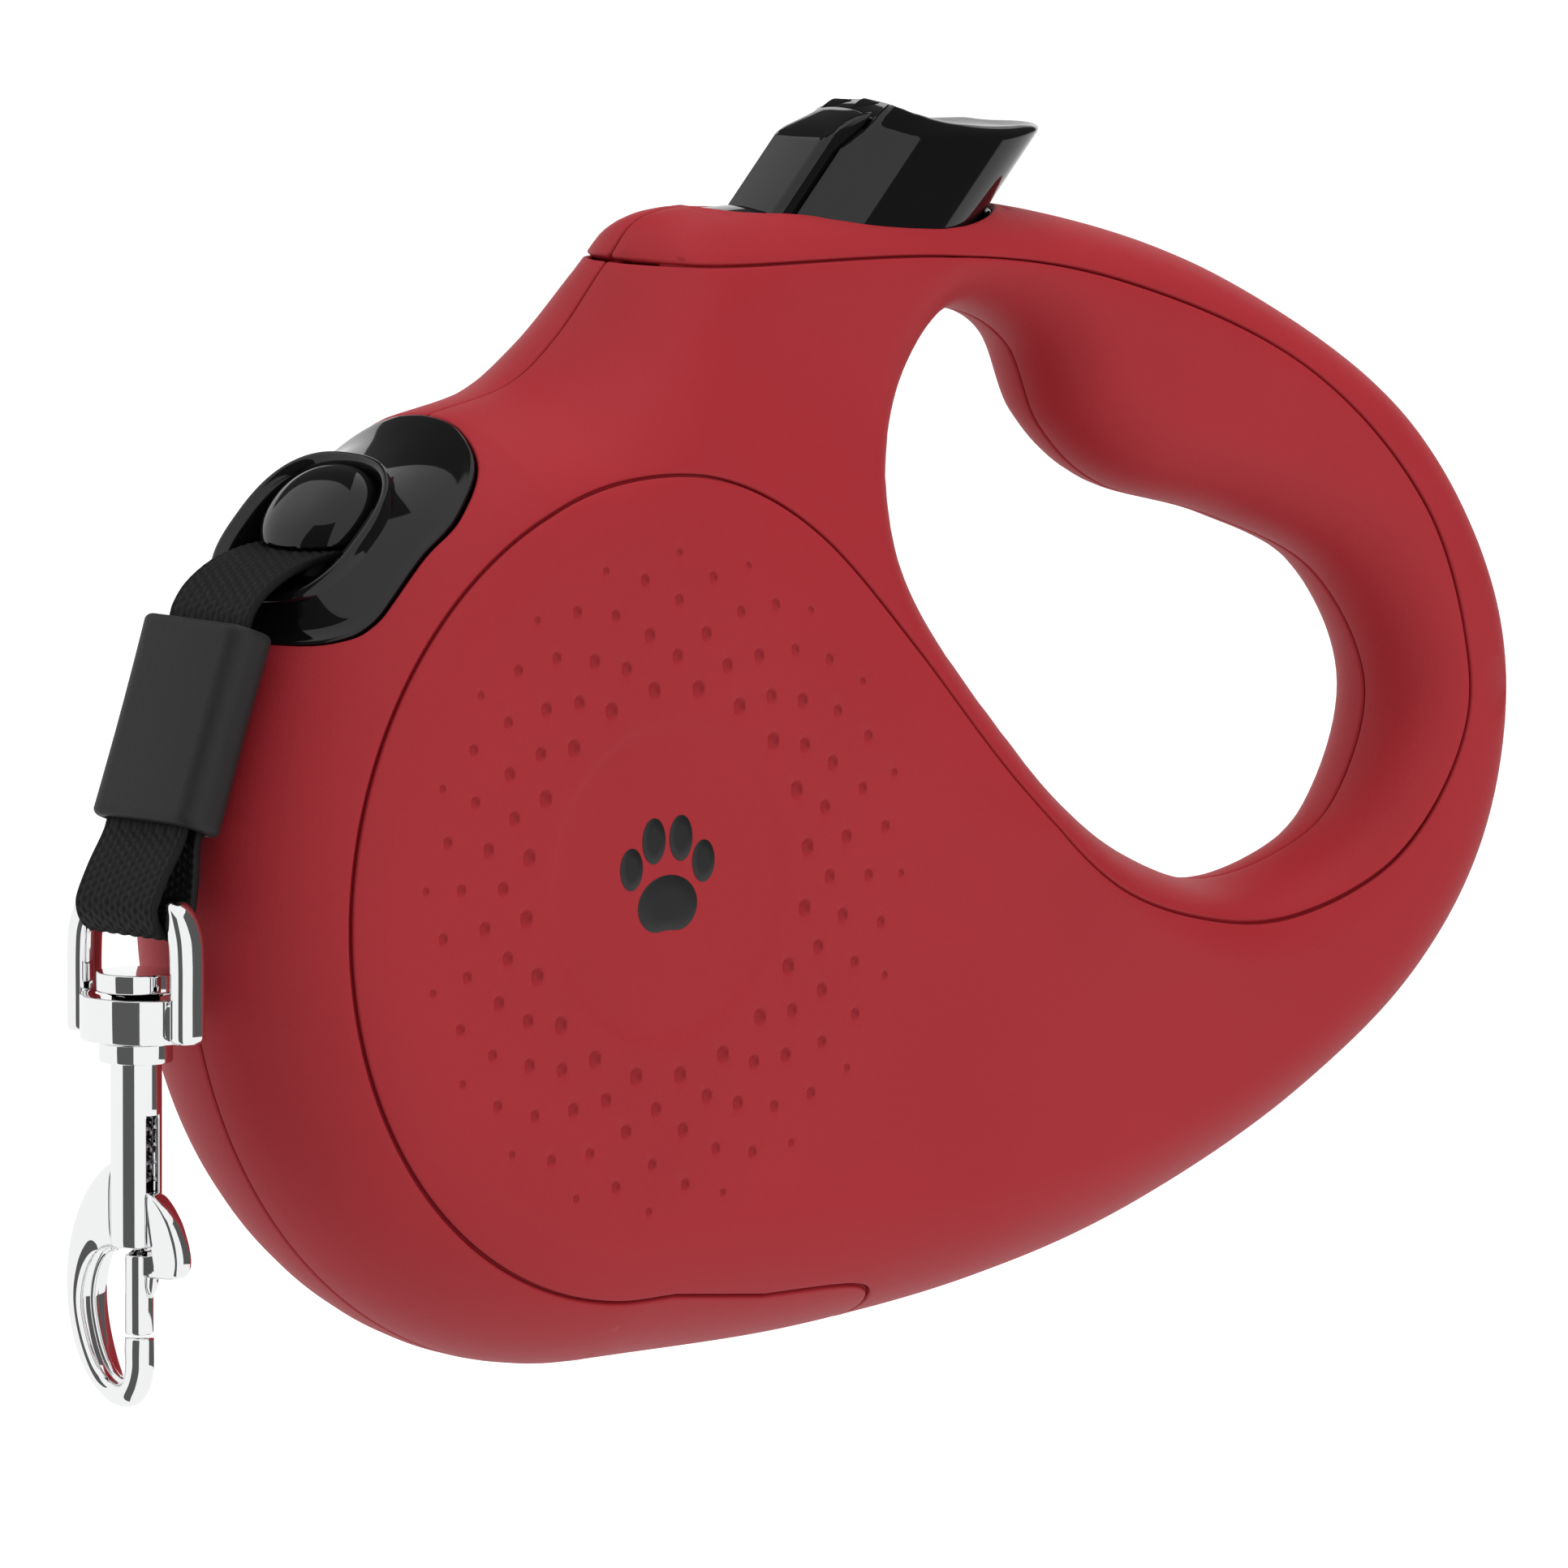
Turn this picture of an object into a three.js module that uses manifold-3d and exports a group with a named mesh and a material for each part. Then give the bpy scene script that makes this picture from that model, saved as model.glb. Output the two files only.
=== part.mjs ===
// A retractable dog leash: a hand-held case with a sprung reel of flat tape, a brake and a lock button,
// and a bolt snap on the end of the tape.
// Millimetres, +Z up. X runs from the nozzle (front, low X) to the handle (rear, high X).
// Everything is drawn about the reel's axis, which is the Y axis, and the finished group is then moved
// so that the origin is in the middle of the hand grip.
import * as THREE from "three";
import { mergeVertices } from "three/addons/utils/BufferGeometryUtils.js";
import Module from "manifold-3d";

const wasm = await Module();
wasm.setup();

// ---- Driving dimensions ----
const GAP = 0.3; // between pieces that touch on the real leash
const WALL = 2.2;
const GRIP = { x: 104, z: 44 }; // middle of the hand grip, from the reel's axis

const DISC = { radius: 56, half: 19.5, edgeAcross: 16.6, edgeDeep: 18 };
const HANDLE_HALF = 9.6; // half the handle's thickness
const FRAME_HALF = 18.4; // half the frame's thickness beside the reel
const TAPER = { from: 50, to: 122, rise: 1.4 }; // where the frame thins towards the handle and the nose
const FRAME_EDGE = 6; // rounding of the frame's outer and inner edges
const COVER = { radius: 46.7, drop: 1 }; // front edge of a side cover, round the reel

const TAPE = { width: 12.5, thick: 1.2 };
const WOUND = { inner: 20.6, outer: 41 };
const FLANGE = { radius: 45.5, inside: 7, thick: 2.2, teeth: 24, notchFloor: 41.2, notchWidth: 7 };
const SPRING_CUP = { radius: 31, wall: 1.4, from: 9.6, to: 16 };

const PRESS = Math.PI / 4; // the buttons slide down and forward at this slope
const STEM_OFFSET = -11.3; // how far the brake's line passes behind and below the reel's axis
const LOCK_OFFSET = -26.3; // the same for the lock button
const BRAKE_REACH = 43.5; // where the plunger's foot meets the flanges, along the brake's line
const NOZZLE_ANGLE = THREE.MathUtils.degToRad(129);
const MOUTH_ANGLE = THREE.MathUtils.degToRad(132.5);

const SLEEVE = { top: [-52.4, 32.2], bottom: [-60.8, 10.3], width: 17, thick: 6.6 };
const BAR = { x: -63.8, z: 1.7, radius: 1.65 }; // the bail's cross bar, inside the tape's loop
const BARREL = { radius: 2.9, top: -15.6, bottom: -36.4 };
const BOLT = { y: -0.5, radius: 1.65, tip: -46.4 };

// ---- Colours ----
const finish = (color, roughness, metalness) =>
  new THREE.MeshStandardMaterial({ color, roughness, metalness });
const MATERIALS = {
  red: () => finish(0xa8323a, 0.55, 0),
  gloss: () => finish(0x0b0b0c, 0.12, 0),
  inner: () => finish(0x8c8f94, 0.5, 0),
  steel: () => finish(0xb4b6ba, 0.35, 1),
  chrome: () => finish(0xd8dade, 0.08, 1),
  brass: () => finish(0xb59446, 0.35, 1),
  webbing: () => finish(0x151516, 0.9, 0),
  rubber: () => finish(0x2c2c2d, 0.8, 0),
};

// ---- Solids ----
function solid(geometry) {
  const plain = geometry.index ? geometry.toNonIndexed() : geometry.clone();
  plain.deleteAttribute("normal");
  plain.deleteAttribute("uv");
  const merged = mergeVertices(plain, 1e-4);
  const corners = new Uint32Array(merged.index.array);
  const vertProperties = merged.attributes.position.array;
  const made = new wasm.Manifold(new wasm.Mesh({ numProp: 3, vertProperties, triVerts: corners }));
  if (made.volume() > 0) return made;
  for (let i = 0; i < corners.length; i += 3) {
    [corners[i + 1], corners[i + 2]] = [corners[i + 2], corners[i + 1]];
  }
  return new wasm.Manifold(new wasm.Mesh({ numProp: 3, vertProperties, triVerts: corners }));
}

function toGeometry(made) {
  const mesh = made.getMesh();
  const geometry = new THREE.BufferGeometry();
  geometry.setAttribute("position", new THREE.BufferAttribute(mesh.vertProperties, 3));
  geometry.setIndex(new THREE.BufferAttribute(mesh.triVerts, 1));
  return geometry;
}

const biggest = (made) => made.decompose().sort((a, b) => b.volume() - a.volume())[0];
const join = (...solids) => solids.reduce((whole, piece) => whole.add(piece));
const cut = (whole, ...tools) => tools.reduce((left, tool) => left.subtract(tool), whole);

// A closed outline in the side view (x, z), made solid between two values of Y.
function slab(outline, low, high, bevel = 0, bevelSegments = 2) {
  const geometry = new THREE.ExtrudeGeometry(outline, {
    depth: high - low - 2 * bevel,
    bevelEnabled: bevel > 0,
    bevelThickness: bevel,
    bevelSize: bevel,
    bevelOffset: -bevel,
    bevelSegments,
    curveSegments: 12,
  });
  geometry.translate(0, 0, bevel - high);
  geometry.rotateX(Math.PI / 2);
  return solid(geometry);
}

// A turned shape about the reel's axis: points are (radius, y), from low y to high y.
const turned = (points, segments = 36) =>
  solid(new THREE.LatheGeometry(points.map(([r, y]) => new THREE.Vector2(r, y)), segments));

function ring(inner, outer, low, high, segments = 36) {
  const corners = [[inner, low], [outer, low], [outer, high], [inner, high], [inner, low]];
  return turned(corners, segments);
}

const disc = (radius, low, high, segments = 24) =>
  turned([[0, low], [radius, low], [radius, high], [0, high]], segments);

// A disc or ring whose axis runs along Y through (x, z).
const rodAt = (x, z, radius, low, high, segments = 12) =>
  disc(radius, low, high, segments).translate([x, 0, z]);

function outlineOf(points) {
  const shape = new THREE.Shape();
  shape.setFromPoints(points.map(([a, b]) => new THREE.Vector2(a, b)));
  return shape;
}

function rectangle(low1, high1, low2, high2, corner = 0, corners = 4) {
  if (!corner) return outlineOf([[low1, low2], [high1, low2], [high1, high2], [low1, high2]]);
  const centres = [
    [high1 - corner, low2 + corner, -1], [high1 - corner, high2 - corner, 0],
    [low1 + corner, high2 - corner, 1], [low1 + corner, low2 + corner, 2],
  ];
  const points = [];
  for (const [a, b, quarter] of centres) {
    for (let i = 0; i <= corners; i++) {
      const turn = ((quarter + i / corners) * Math.PI) / 2;
      points.push([a + corner * Math.cos(turn), b + corner * Math.sin(turn)]);
    }
  }
  return outlineOf(points);
}

function oval(halfLong, halfWide, count = 28, power = 1) {
  const points = [];
  for (let i = 0; i < count; i++) {
    const turn = (i / count) * 2 * Math.PI;
    const rounded = (value) => Math.sign(value) * Math.abs(value) ** power;
    points.push([halfLong * rounded(Math.cos(turn)), halfWide * rounded(Math.sin(turn))]);
  }
  return outlineOf(points);
}

// An outline drawn across a slanted line in the side view: its first axis lies in the side view at right
// angles to the line, its second is Y, and it is extruded along the line. slope is the line's angle from +X.
function along(slope, outline, from, to, bevel = 0) {
  const geometry = new THREE.ExtrudeGeometry(outline, {
    depth: to - from - 2 * bevel,
    bevelEnabled: bevel > 0,
    bevelThickness: bevel,
    bevelSize: bevel,
    bevelOffset: -bevel,
    bevelSegments: 2,
  });
  geometry.translate(0, 0, from + bevel);
  const line = new THREE.Vector3(Math.cos(slope), 0, Math.sin(slope));
  const across = new THREE.Vector3(Math.sin(slope), 0, -Math.cos(slope));
  geometry.applyMatrix4(new THREE.Matrix4().makeBasis(across, new THREE.Vector3(0, 1, 0), line));
  return solid(geometry);
}

// The same frame's points, for placing things on a slanted line.
const onLine = (slope, across, far) => [
  across * Math.sin(slope) + far * Math.cos(slope),
  far * Math.sin(slope) - across * Math.cos(slope),
];

// A coil spring. place gives the wire's middle for a turn in radians and a share of the length.
function coil(place, turns, wireRadius, stepsInTurn, sides) {
  class Helix extends THREE.Curve {
    getPoint(t, target = new THREE.Vector3()) {
      return target.set(...place(2 * Math.PI * turns * t, t));
    }
  }
  const section = oval(wireRadius, wireRadius, sides);
  const extrudePath = new Helix();
  return solid(new THREE.ExtrudeGeometry(section, { steps: turns * stepsInTurn, extrudePath }));
}

// A coil spring about the slanted line of a button.
function buttonSpring(offset, from, to, radius, wireRadius, turns) {
  const place = (turn, t) => {
    const [x, z] = onLine(PRESS, offset + radius * Math.cos(turn), from + (to - from) * t);
    return [x, radius * Math.sin(turn), z];
  };
  return coil(place, turns, wireRadius, 8, 5);
}

// ---- Case ----
function splined(points, count) {
  return new THREE.SplineCurve(points.map(([a, b]) => new THREE.Vector2(a, b))).getPoints(count);
}

function arcPoints(x, z, radius, from, to, count) {
  const points = [];
  for (let i = 0; i <= count; i++) {
    const turn = THREE.MathUtils.degToRad(from + ((to - from) * i) / count);
    points.push(new THREE.Vector2(x + radius * Math.cos(turn), z + radius * Math.sin(turn)));
  }
  return points;
}

const BELLY_TO_HANDLE = [
  [0, -56], [32, -55.6], [60, -52.6], [86, -47], [112, -37.8], [132, -25.6], [144, -10],
  [147.7, 9], [142.4, 26.5], [128.5, 43.3], [103, 58.4], [77.5, 67.2], [52, 71.6], [26, 72.8],
];
const NOSE_AND_NECK = [[14.4, 72.2], [8.9, 67.6], [1.3, 60], [-6.5, 55.1], [-18.3, 52.9]];
const FINGER_OPENING = [
  [64.4, 57.2], [72, 52.6], [77, 43], [86.5, 35.6], [104, 30.4], [120.5, 22.6], [129, 9],
  [124.2, -3.9], [114.2, -9.5], [101, -11], [86.5, -6.2], [73, 1.6], [62.4, 11.6], [49.6, 27.4],
  [47.1, 38], [50.5, 50], [57, 57.2],
];
const COVER_EDGE_REAR = [
  [29.6, 34.2], [42.5, 21.7], [57.7, 5.1], [74.2, -7.7], [94.5, -14], [110.2, -15], [125.4, -10.2],
  [134.9, 0.8], [136.4, 12.6], [129.2, 30.7], [110.2, 48.1], [81, 60.2], [54.4, 65.1], [21.4, 66.9],
  [4.9, 68.4],
];
const BEYOND = { front: -80, rear: 180, top: 110, bottom: -90, side: 40 }; // well outside the case

function caseOutline() {
  const outline = new THREE.Shape([
    ...splined(BELLY_TO_HANDLE, 22),
    ...splined(NOSE_AND_NECK, 8),
    ...arcPoints(0, 0, DISC.radius, 112, 262, 11),
  ]);
  const opening = splined([...FINGER_OPENING, FINGER_OPENING[0]], 24);
  opening.pop();
  outline.holes.push(new THREE.Path(opening));
  return outline;
}

// Half the frame's thickness at a place in the side view.
function frameHalf(x, z) {
  const back = x + TAPER.rise * Math.max(z, 0);
  const share = THREE.MathUtils.smoothstep(back, TAPER.from, TAPER.to);
  return FRAME_HALF + (HANDLE_HALF - FRAME_HALF) * share;
}

function frameBody(inset, edge, segments) {
  const half = 10; // drawn this thick and then scaled to the thickness at each place
  const flat = 1;
  const geometry = new THREE.ExtrudeGeometry(caseOutline(), {
    depth: 2 * flat,
    bevelEnabled: true,
    bevelThickness: half - flat,
    bevelSize: edge,
    bevelOffset: -edge - inset,
    bevelSegments: segments,
  });
  geometry.translate(0, 0, -flat);
  geometry.rotateX(Math.PI / 2);
  const at = geometry.attributes.position;
  for (let i = 0; i < at.count; i++) {
    at.setY(i, (at.getY(i) / half) * (frameHalf(at.getX(i), at.getZ(i)) - inset));
  }
  return solid(geometry);
}

function discBody(inset, segments) {
  const { radius, half, edgeAcross, edgeDeep } = DISC;
  const points = [];
  for (const side of [-1, 1]) {
    for (let i = 0; i <= segments; i++) {
      const share = side < 0 ? i / segments : 1 - i / segments;
      const turn = (share * Math.PI) / 2;
      const across = (edgeAcross - inset) * Math.sin(turn);
      const deep = (edgeDeep - inset) * Math.cos(turn);
      points.push([radius - edgeAcross + across, side * (half - edgeDeep + deep)]);
    }
  }
  return turned([[0, inset - half], ...points, [0, half - inset]]);
}

// The side view of a side cover: the area inside its groove, drawn on past the case's edge.
function coverOutline(grow) {
  const foot = [[38.4, -52], [30, -49.2], [18, -49.1]];
  const front = arcPoints(0, -COVER.drop, COVER.radius + grow, -85, -308, 20);
  const neck = { x: -16, z: 70 };
  const around = [
    [neck.x, neck.z - grow], [neck.x, BEYOND.top], [BEYOND.rear, BEYOND.top],
    [BEYOND.rear, BEYOND.bottom], [40 - grow, BEYOND.bottom],
  ];
  return new THREE.Shape([
    ...foot.map(([a, b]) => new THREE.Vector2(a, b - grow)),
    ...front,
    ...splined(COVER_EDGE_REAR, 24).map((p, i, all) => nudged(p, i, all, grow)),
    ...around.map(([a, b]) => new THREE.Vector2(a, b)),
  ]);
}

// A point of a run moved to the left of its direction.
function nudged(point, i, all, far) {
  const ahead = all[Math.min(i + 1, all.length - 1)];
  const behind = all[Math.max(i - 1, 0)];
  const run = ahead.clone().sub(behind).normalize();
  return new THREE.Vector2(point.x - run.y * far, point.y + run.x * far);
}

const SCREWS = [
  { x: -49.4, z: -14.2 }, { x: 1, z: -51.9 }, { x: 14, z: 58 },
  { x: 88, z: -30 }, { x: 141.6, z: 8 }, { x: 113, z: 38 },
];
const SCREW = { shank: 1.4, head: 2.7, headHigh: 2, seat: 5, tip: -6 };
const BOSS = { headSide: 4.3, threadSide: 3.2, end: 19 };
const AXLE = { radius: 4, low: -16.8, high: 16.9 };

// What is left standing inside a half of the case: a boss for each screw, and the axle's seat.
function bosses(side) {
  const { headSide, threadSide, end } = BOSS;
  if (side > 0) {
    const seat = rodAt(0, 0, AXLE.radius + 2.2, AXLE.high - GAP, DISC.half - 1);
    return [seat, ...SCREWS.map(({ x, z }) => rodAt(x, z, headSide, GAP / 2, end))];
  }
  const seat = rodAt(0, 0, 2 * AXLE.radius, 1 - DISC.half, -10.6);
  return [seat, ...SCREWS.map(({ x, z }) => rodAt(x, z, threadSide, -end, -GAP / 2))];
}

function bossHoles(side) {
  const { shank, head, seat, tip } = SCREW;
  const bore = AXLE.radius + GAP;
  if (side > 0) {
    const holes = SCREWS.map(({ x, z }) => rodAt(x, z, shank + GAP, -1, BOSS.end));
    const heads = SCREWS.map(({ x, z }) => rodAt(x, z, head + GAP, seat, BEYOND.side));
    return [...holes, ...heads, rodAt(0, 0, bore, 10, AXLE.high + GAP)];
  }
  const holes = SCREWS.map(({ x, z }) => rodAt(x, z, shank + GAP, tip - 1.5, 1));
  return [...holes, rodAt(0, 0, bore, AXLE.low - GAP - 0.1, -10)];
}

const PLATE = { front: 20.5, rear: 71, half: 8.2, corner: 5, low: 62, deep: 30 };

// The straight-sided well in the case's top that the buttons stand in.
function buttonWell(grow) {
  const { front, rear, half, corner, low, deep } = PLATE;
  const outline = rectangle(front - grow, rear + grow, -half - grow, half + grow, corner);
  const geometry = new THREE.ExtrudeGeometry(outline, { depth: deep, bevelEnabled: false });
  geometry.translate(0, 0, low);
  return solid(geometry);
}

const NOZZLE = { low: 40, high: 66 }; // from inside the case to past its front, along the nozzle's line

// The nozzle's outline, seen along its own line: blunt at its foot and narrow at its head.
function nozzleOutline(grow) {
  const halfWidth = [
    [19, 3.2], [17, 7.6], [12, 11.4], [5, 13.6], [-5, 14], [-12, 12], [-16.5, 7.5], [-18, 3],
  ];
  const right = halfWidth.map(([a, b]) => [a + Math.sign(a) * grow, b + grow]);
  const left = right.map(([a, b]) => [a, -b]).reverse();
  return outlineOf([...left, ...right]);
}

function buildCase() {
  const outer = join(discBody(0, 4), frameBody(0, FRAME_EDGE, 2));
  const inner = join(discBody(WALL, 2), frameBody(WALL, FRAME_EDGE - 2.6, 1));
  const well = buttonWell(GAP);
  const nozzle = along(NOZZLE_ANGLE, nozzleOutline(GAP), NOZZLE.low, NOZZLE.high);
  const { front, rear, bottom, top, side: far } = BEYOND;
  const pieces = {};
  for (const [name, side] of [["left", -1], ["right", 1]]) {
    const low = side > 0 ? GAP / 2 : -far;
    const high = side > 0 ? far : -GAP / 2;
    const block = slab(rectangle(front, rear, bottom, top), low, high);
    const inside = cut(inner, ...bosses(side));
    const half = cut(outer.intersect(block), inside, well, nozzle, ...bossHoles(side));
    pieces[name + "_cover"] = biggest(half.intersect(slab(coverOutline(0), -far, far)));
    pieces[name + "_frame"] = biggest(cut(half, slab(coverOutline(GAP), -far, far)));
  }
  return { outer, inner, pieces };
}

// ---- Nozzle ----
const LIP = { long: 11.1, wide: 9.9, low: 50.4, high: 57.7 }; // the raised ring round the mouth
const MOUTH_HOLE = { long: 8.7, wide: 7.7 };
const GUIDE = { long: 3.9, wide: 5.8, high: 5.6, across: 4.3, low: 54.6 }; // the bulge above the tape

function buildNozzle(outer, inner) {
  const through = [30, 70];
  const body = along(NOZZLE_ANGLE, nozzleOutline(0), NOZZLE.low, NOZZLE.high);
  const mouth = along(MOUTH_ANGLE, oval(LIP.long + GAP, LIP.wide + GAP, 24, 0.85), ...through);
  const ringOuter = along(MOUTH_ANGLE, oval(LIP.long, LIP.wide, 24, 0.85), LIP.low, LIP.high, 1);
  const ringInner = along(MOUTH_ANGLE, oval(MOUTH_HOLE.long, MOUTH_HOLE.wide, 24, 0.7), ...through);
  const guide = along(MOUTH_ANGLE, oval(GUIDE.long, GUIDE.wide, 20), 0, GUIDE.high, 1.6);
  const [x, z] = onLine(MOUTH_ANGLE, GUIDE.across, GUIDE.low);
  return {
    nozzle_bezel: biggest(cut(outer.intersect(body), inner, mouth)),
    nozzle_ring: cut(ringOuter, ringInner),
    nozzle_guide: guide.translate([x, 0, z]),
  };
}

// ---- Buttons and brake ----
// Sections are drawn across the press line: low and high in the side view, half in Y.
const LOCK_SECTION = { low: -28.3, high: -24.5, half: 4.3 };
// Half the brake button's outline, from its front, where it has the lock button between its cheeks.
const BRAKE_HALF = [
  [-26.1, 4.9], [-22.7, 5.9], [-18.9, 6.7], [-14.9, 7.1], [-10.8, 7.2], [-8.5, 7.1], [-6.5, 6.7],
  [-4.9, 6], [-3.4, 5], [-1.5, 3], [-0.6, 1.2],
];
const STEM = sectionAbout(STEM_OFFSET, 2.4, 3);
const FOOT = sectionAbout(STEM_OFFSET, 2, 9.4);
const LOCK_STEM = sectionAbout(LOCK_OFFSET, 1.5, 2);
const GUIDE_PLATE = { low: -29.6, high: -5.2, half: 7.6 };
const SKIRT = 66.3; // lower edge of the brake button, inside the case
const LOCK_BASE = 69.6; // lower end of the lock button, along the press line
const LOCK_TOP = [[0, 60], [39.5, 79.4], [40.4, 80], [47.2, 82], [70, 60]];
const BRAKE_TOP = [
  [20, SKIRT], [42, 78.8], [48, 82], [49.2, 81.8], [51.7, 81], [55, 79.7], [58.2, 78.8], [63.7, 77.7],
  [68, 77.2], [72.4, 77.1], [73.3, 76.3], [90, SKIRT],
];

function sectionAbout(offset, across, half) {
  return { low: offset - across, high: offset + across, half };
}

function sectionOf({ low, high, half }, grow = 0, corner = 0) {
  return rectangle(low - grow, high + grow, -half - grow, half + grow, corner);
}

function brakeOutline(grow) {
  const middle = -13;
  const left = BRAKE_HALF.map(([a, b]) => [a + Math.sign(a - middle) * grow, -b - grow]);
  const right = left.map(([a, b]) => [a, -b]).reverse();
  return outlineOf([...left, ...right]);
}

function buttonPlate(outer) {
  const lowered = outer.translate([0, 0, -0.5]);
  const under = outer.translate([0, 0, -3.1]);
  const openings = [sectionOf(LOCK_SECTION, GAP, 1), brakeOutline(GAP)];
  const cutters = openings.map((outline) => along(PRESS, outline, 40, 130));
  return biggest(cut(lowered.intersect(buttonWell(0)), under, ...cutters));
}

function buildButtons(outer) {
  const lockBlock = along(PRESS, sectionOf(LOCK_SECTION, 0, 0.8), LOCK_BASE, 120);
  const lockButton = lockBlock.intersect(slab(outlineOf(LOCK_TOP), -20, 20));
  const roomForLock = along(PRESS, sectionOf(LOCK_SECTION, GAP), 40, 140);
  const brakeBlock = cut(along(PRESS, brakeOutline(0), 60, 130), roomForLock);
  const foot = along(PRESS, sectionOf(FOOT), BRAKE_REACH + 2.3, 50);
  const belowSkirt = slab(rectangle(0, 100, 0, SKIRT - GAP), -20, 20);
  const stem = along(PRESS, sectionOf(STEM), 49, 90).intersect(belowSkirt);
  const lockStem = along(PRESS, sectionOf(LOCK_STEM), 57, LOCK_BASE + 0.6);
  const guidePlate = along(PRESS, sectionOf(GUIDE_PLATE, 0, 2), 60, 62);
  const slidingHoles = [STEM, LOCK_STEM].map((section) => along(PRESS, sectionOf(section, 0.4), 50, 70));
  return {
    button_plate: buttonPlate(outer),
    lock_button: join(lockButton, lockStem),
    brake_button: biggest(brakeBlock.intersect(slab(outlineOf(BRAKE_TOP), -20, 20))),
    brake_plunger: join(stem, foot),
    brake_guide: cut(guidePlate, ...slidingHoles),
    brake_spring: buttonSpring(STEM_OFFSET, 62.8, 74.6, 4.5, 0.45, 5),
    lock_spring: buttonSpring(LOCK_OFFSET, 62.8, 68.9, 3.2, 0.35, 4),
  };
}

// ---- Reel ----
function flangeOutline() {
  const { radius, teeth, notchFloor, notchWidth } = FLANGE;
  const start = PRESS + Math.atan2(-STEM_OFFSET, BRAKE_REACH); // a notch lies under the plunger's foot
  const points = [];
  for (let tooth = 0; tooth < teeth; tooth++) {
    const middle = start + (tooth / teeth) * 2 * Math.PI;
    const half = notchWidth / 2 / radius;
    const corners = [
      [middle - half, radius], [middle - half, notchFloor], [middle + half, notchFloor],
      [middle + half, radius], [middle + Math.PI / teeth, radius],
    ];
    for (const [turn, far] of corners) points.push([far * Math.cos(turn), far * Math.sin(turn)]);
  }
  return outlineOf(points);
}

const REEL_SCREW_RADIUS = 13;
const reelScrewPlaces = [0, 1, 2].map((i) => {
  const turn = (i / 3) * 2 * Math.PI + 0.5;
  return [REEL_SCREW_RADIUS * Math.cos(turn), REEL_SCREW_RADIUS * Math.sin(turn)];
});

// The flat spiral spring in its cup.
function powerSpring() {
  const { radius, wall, from, to } = SPRING_CUP;
  const turns = 6;
  const steps = turns * 18;
  const thick = 0.5;
  const innermost = 7.4;
  const inside = [];
  const outside = [];
  for (let i = 0; i <= steps; i++) {
    const turn = (i / steps) * turns * 2 * Math.PI;
    const far = innermost + (radius - wall - 1.2 - innermost) * (i / steps);
    inside.push([far * Math.cos(turn), far * Math.sin(turn)]);
    outside.push([(far + thick) * Math.cos(turn), (far + thick) * Math.sin(turn)]);
  }
  return slab(outlineOf([...inside, ...outside.reverse()]), from + 1.6, to - 0.6);
}

function buildReel() {
  const { radius, inside, thick } = FLANGE;
  const flangeTop = inside + thick;
  const bore = AXLE.radius + 2.1;
  const holes = reelScrewPlaces.map(([x, z]) => rodAt(x, z, 1.5, -12, 12, 10));
  const heads = reelScrewPlaces.map(([x, z]) => rodAt(x, z, 2.7, -12, -inside - 1, 12));
  const hub = cut(ring(bore, WOUND.inner - GAP, -inside + GAP, inside - GAP, 36), ...holes);
  const anchorSlot = rodAt(WOUND.inner - 2.6, 0, 1.5, -20, 20, 12);
  const flange = slab(flangeOutline(), -flangeTop, -inside);
  const flangeBore = rodAt(0, 0, bore, -20, 20, 24);
  const cup = SPRING_CUP;
  const cupWall = ring(cup.radius - cup.wall, cup.radius, cup.from, cup.to);
  const cupFloor = ring(bore, cup.radius, cup.from, cup.from + 1.2);
  const pieces = {
    reel_hub: cut(hub, anchorSlot),
    ratchet_flange_left: cut(flange, flangeBore, ...holes, ...heads),
    ratchet_flange_right: cut(flange.translate([0, inside * 2 + thick, 0]), flangeBore, ...holes),
    spring_cup: join(cupWall, cupFloor),
    spring_cover: ring(AXLE.radius + 3, cup.radius - cup.wall - GAP, cup.to - 0.2, cup.to + 0.4),
    power_spring: powerSpring(),
    axle: disc(AXLE.radius, AXLE.low, AXLE.high, 24),
    bush_left: ring(AXLE.radius + 0.05, bore - 0.15, -inside - thick, -1, 24),
    bush_right: ring(AXLE.radius + 0.05, bore - 0.15, 1, inside + thick, 24),
    wound_tape: ring(WOUND.inner, WOUND.outer, -TAPE.width / 2, TAPE.width / 2),
    tape_anchor_pin: rodAt(WOUND.inner - 2.6, 0, 1.1, -6, 6, 10),
  };
  reelScrewPlaces.forEach(([x, z], i) => {
    const shank = rodAt(x, z, 1.2, -inside - 1.5, inside + 1, 10);
    pieces["reel_screw_" + (i + 1)] = join(shank, rodAt(x, z, 2.3, -flangeTop, -inside - 1.3, 12));
  });
  return pieces;
}

function caseScrews() {
  const { shank, head, headHigh, seat, tip } = SCREW;
  const pieces = {};
  SCREWS.forEach(({ x, z }, i) => {
    const top = seat + GAP + headHigh;
    const body = join(rodAt(x, z, shank, tip, seat + 0.5, 8), rodAt(x, z, head, seat + GAP, top, 12));
    const socket = rodAt(x, z, 1.2, top - 1.2, top + 1, 6);
    pieces["case_screw_" + (i + 1)] = cut(body, socket);
  });
  return pieces;
}

// ---- Tape end ----
const hangLine = new THREE.Vector2(
  SLEEVE.bottom[0] - SLEEVE.top[0],
  SLEEVE.bottom[1] - SLEEVE.top[1],
);
const SLEEVE_LENGTH = hangLine.length();
const HANG_SLOPE = Math.atan2(hangLine.y, hangLine.x);

// Moves a solid drawn with its slanted line through the origin to the sleeve's lower end.
const atSleeveEnd = (made) => made.translate([SLEEVE.bottom[0], 0, SLEEVE.bottom[1]]);

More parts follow.
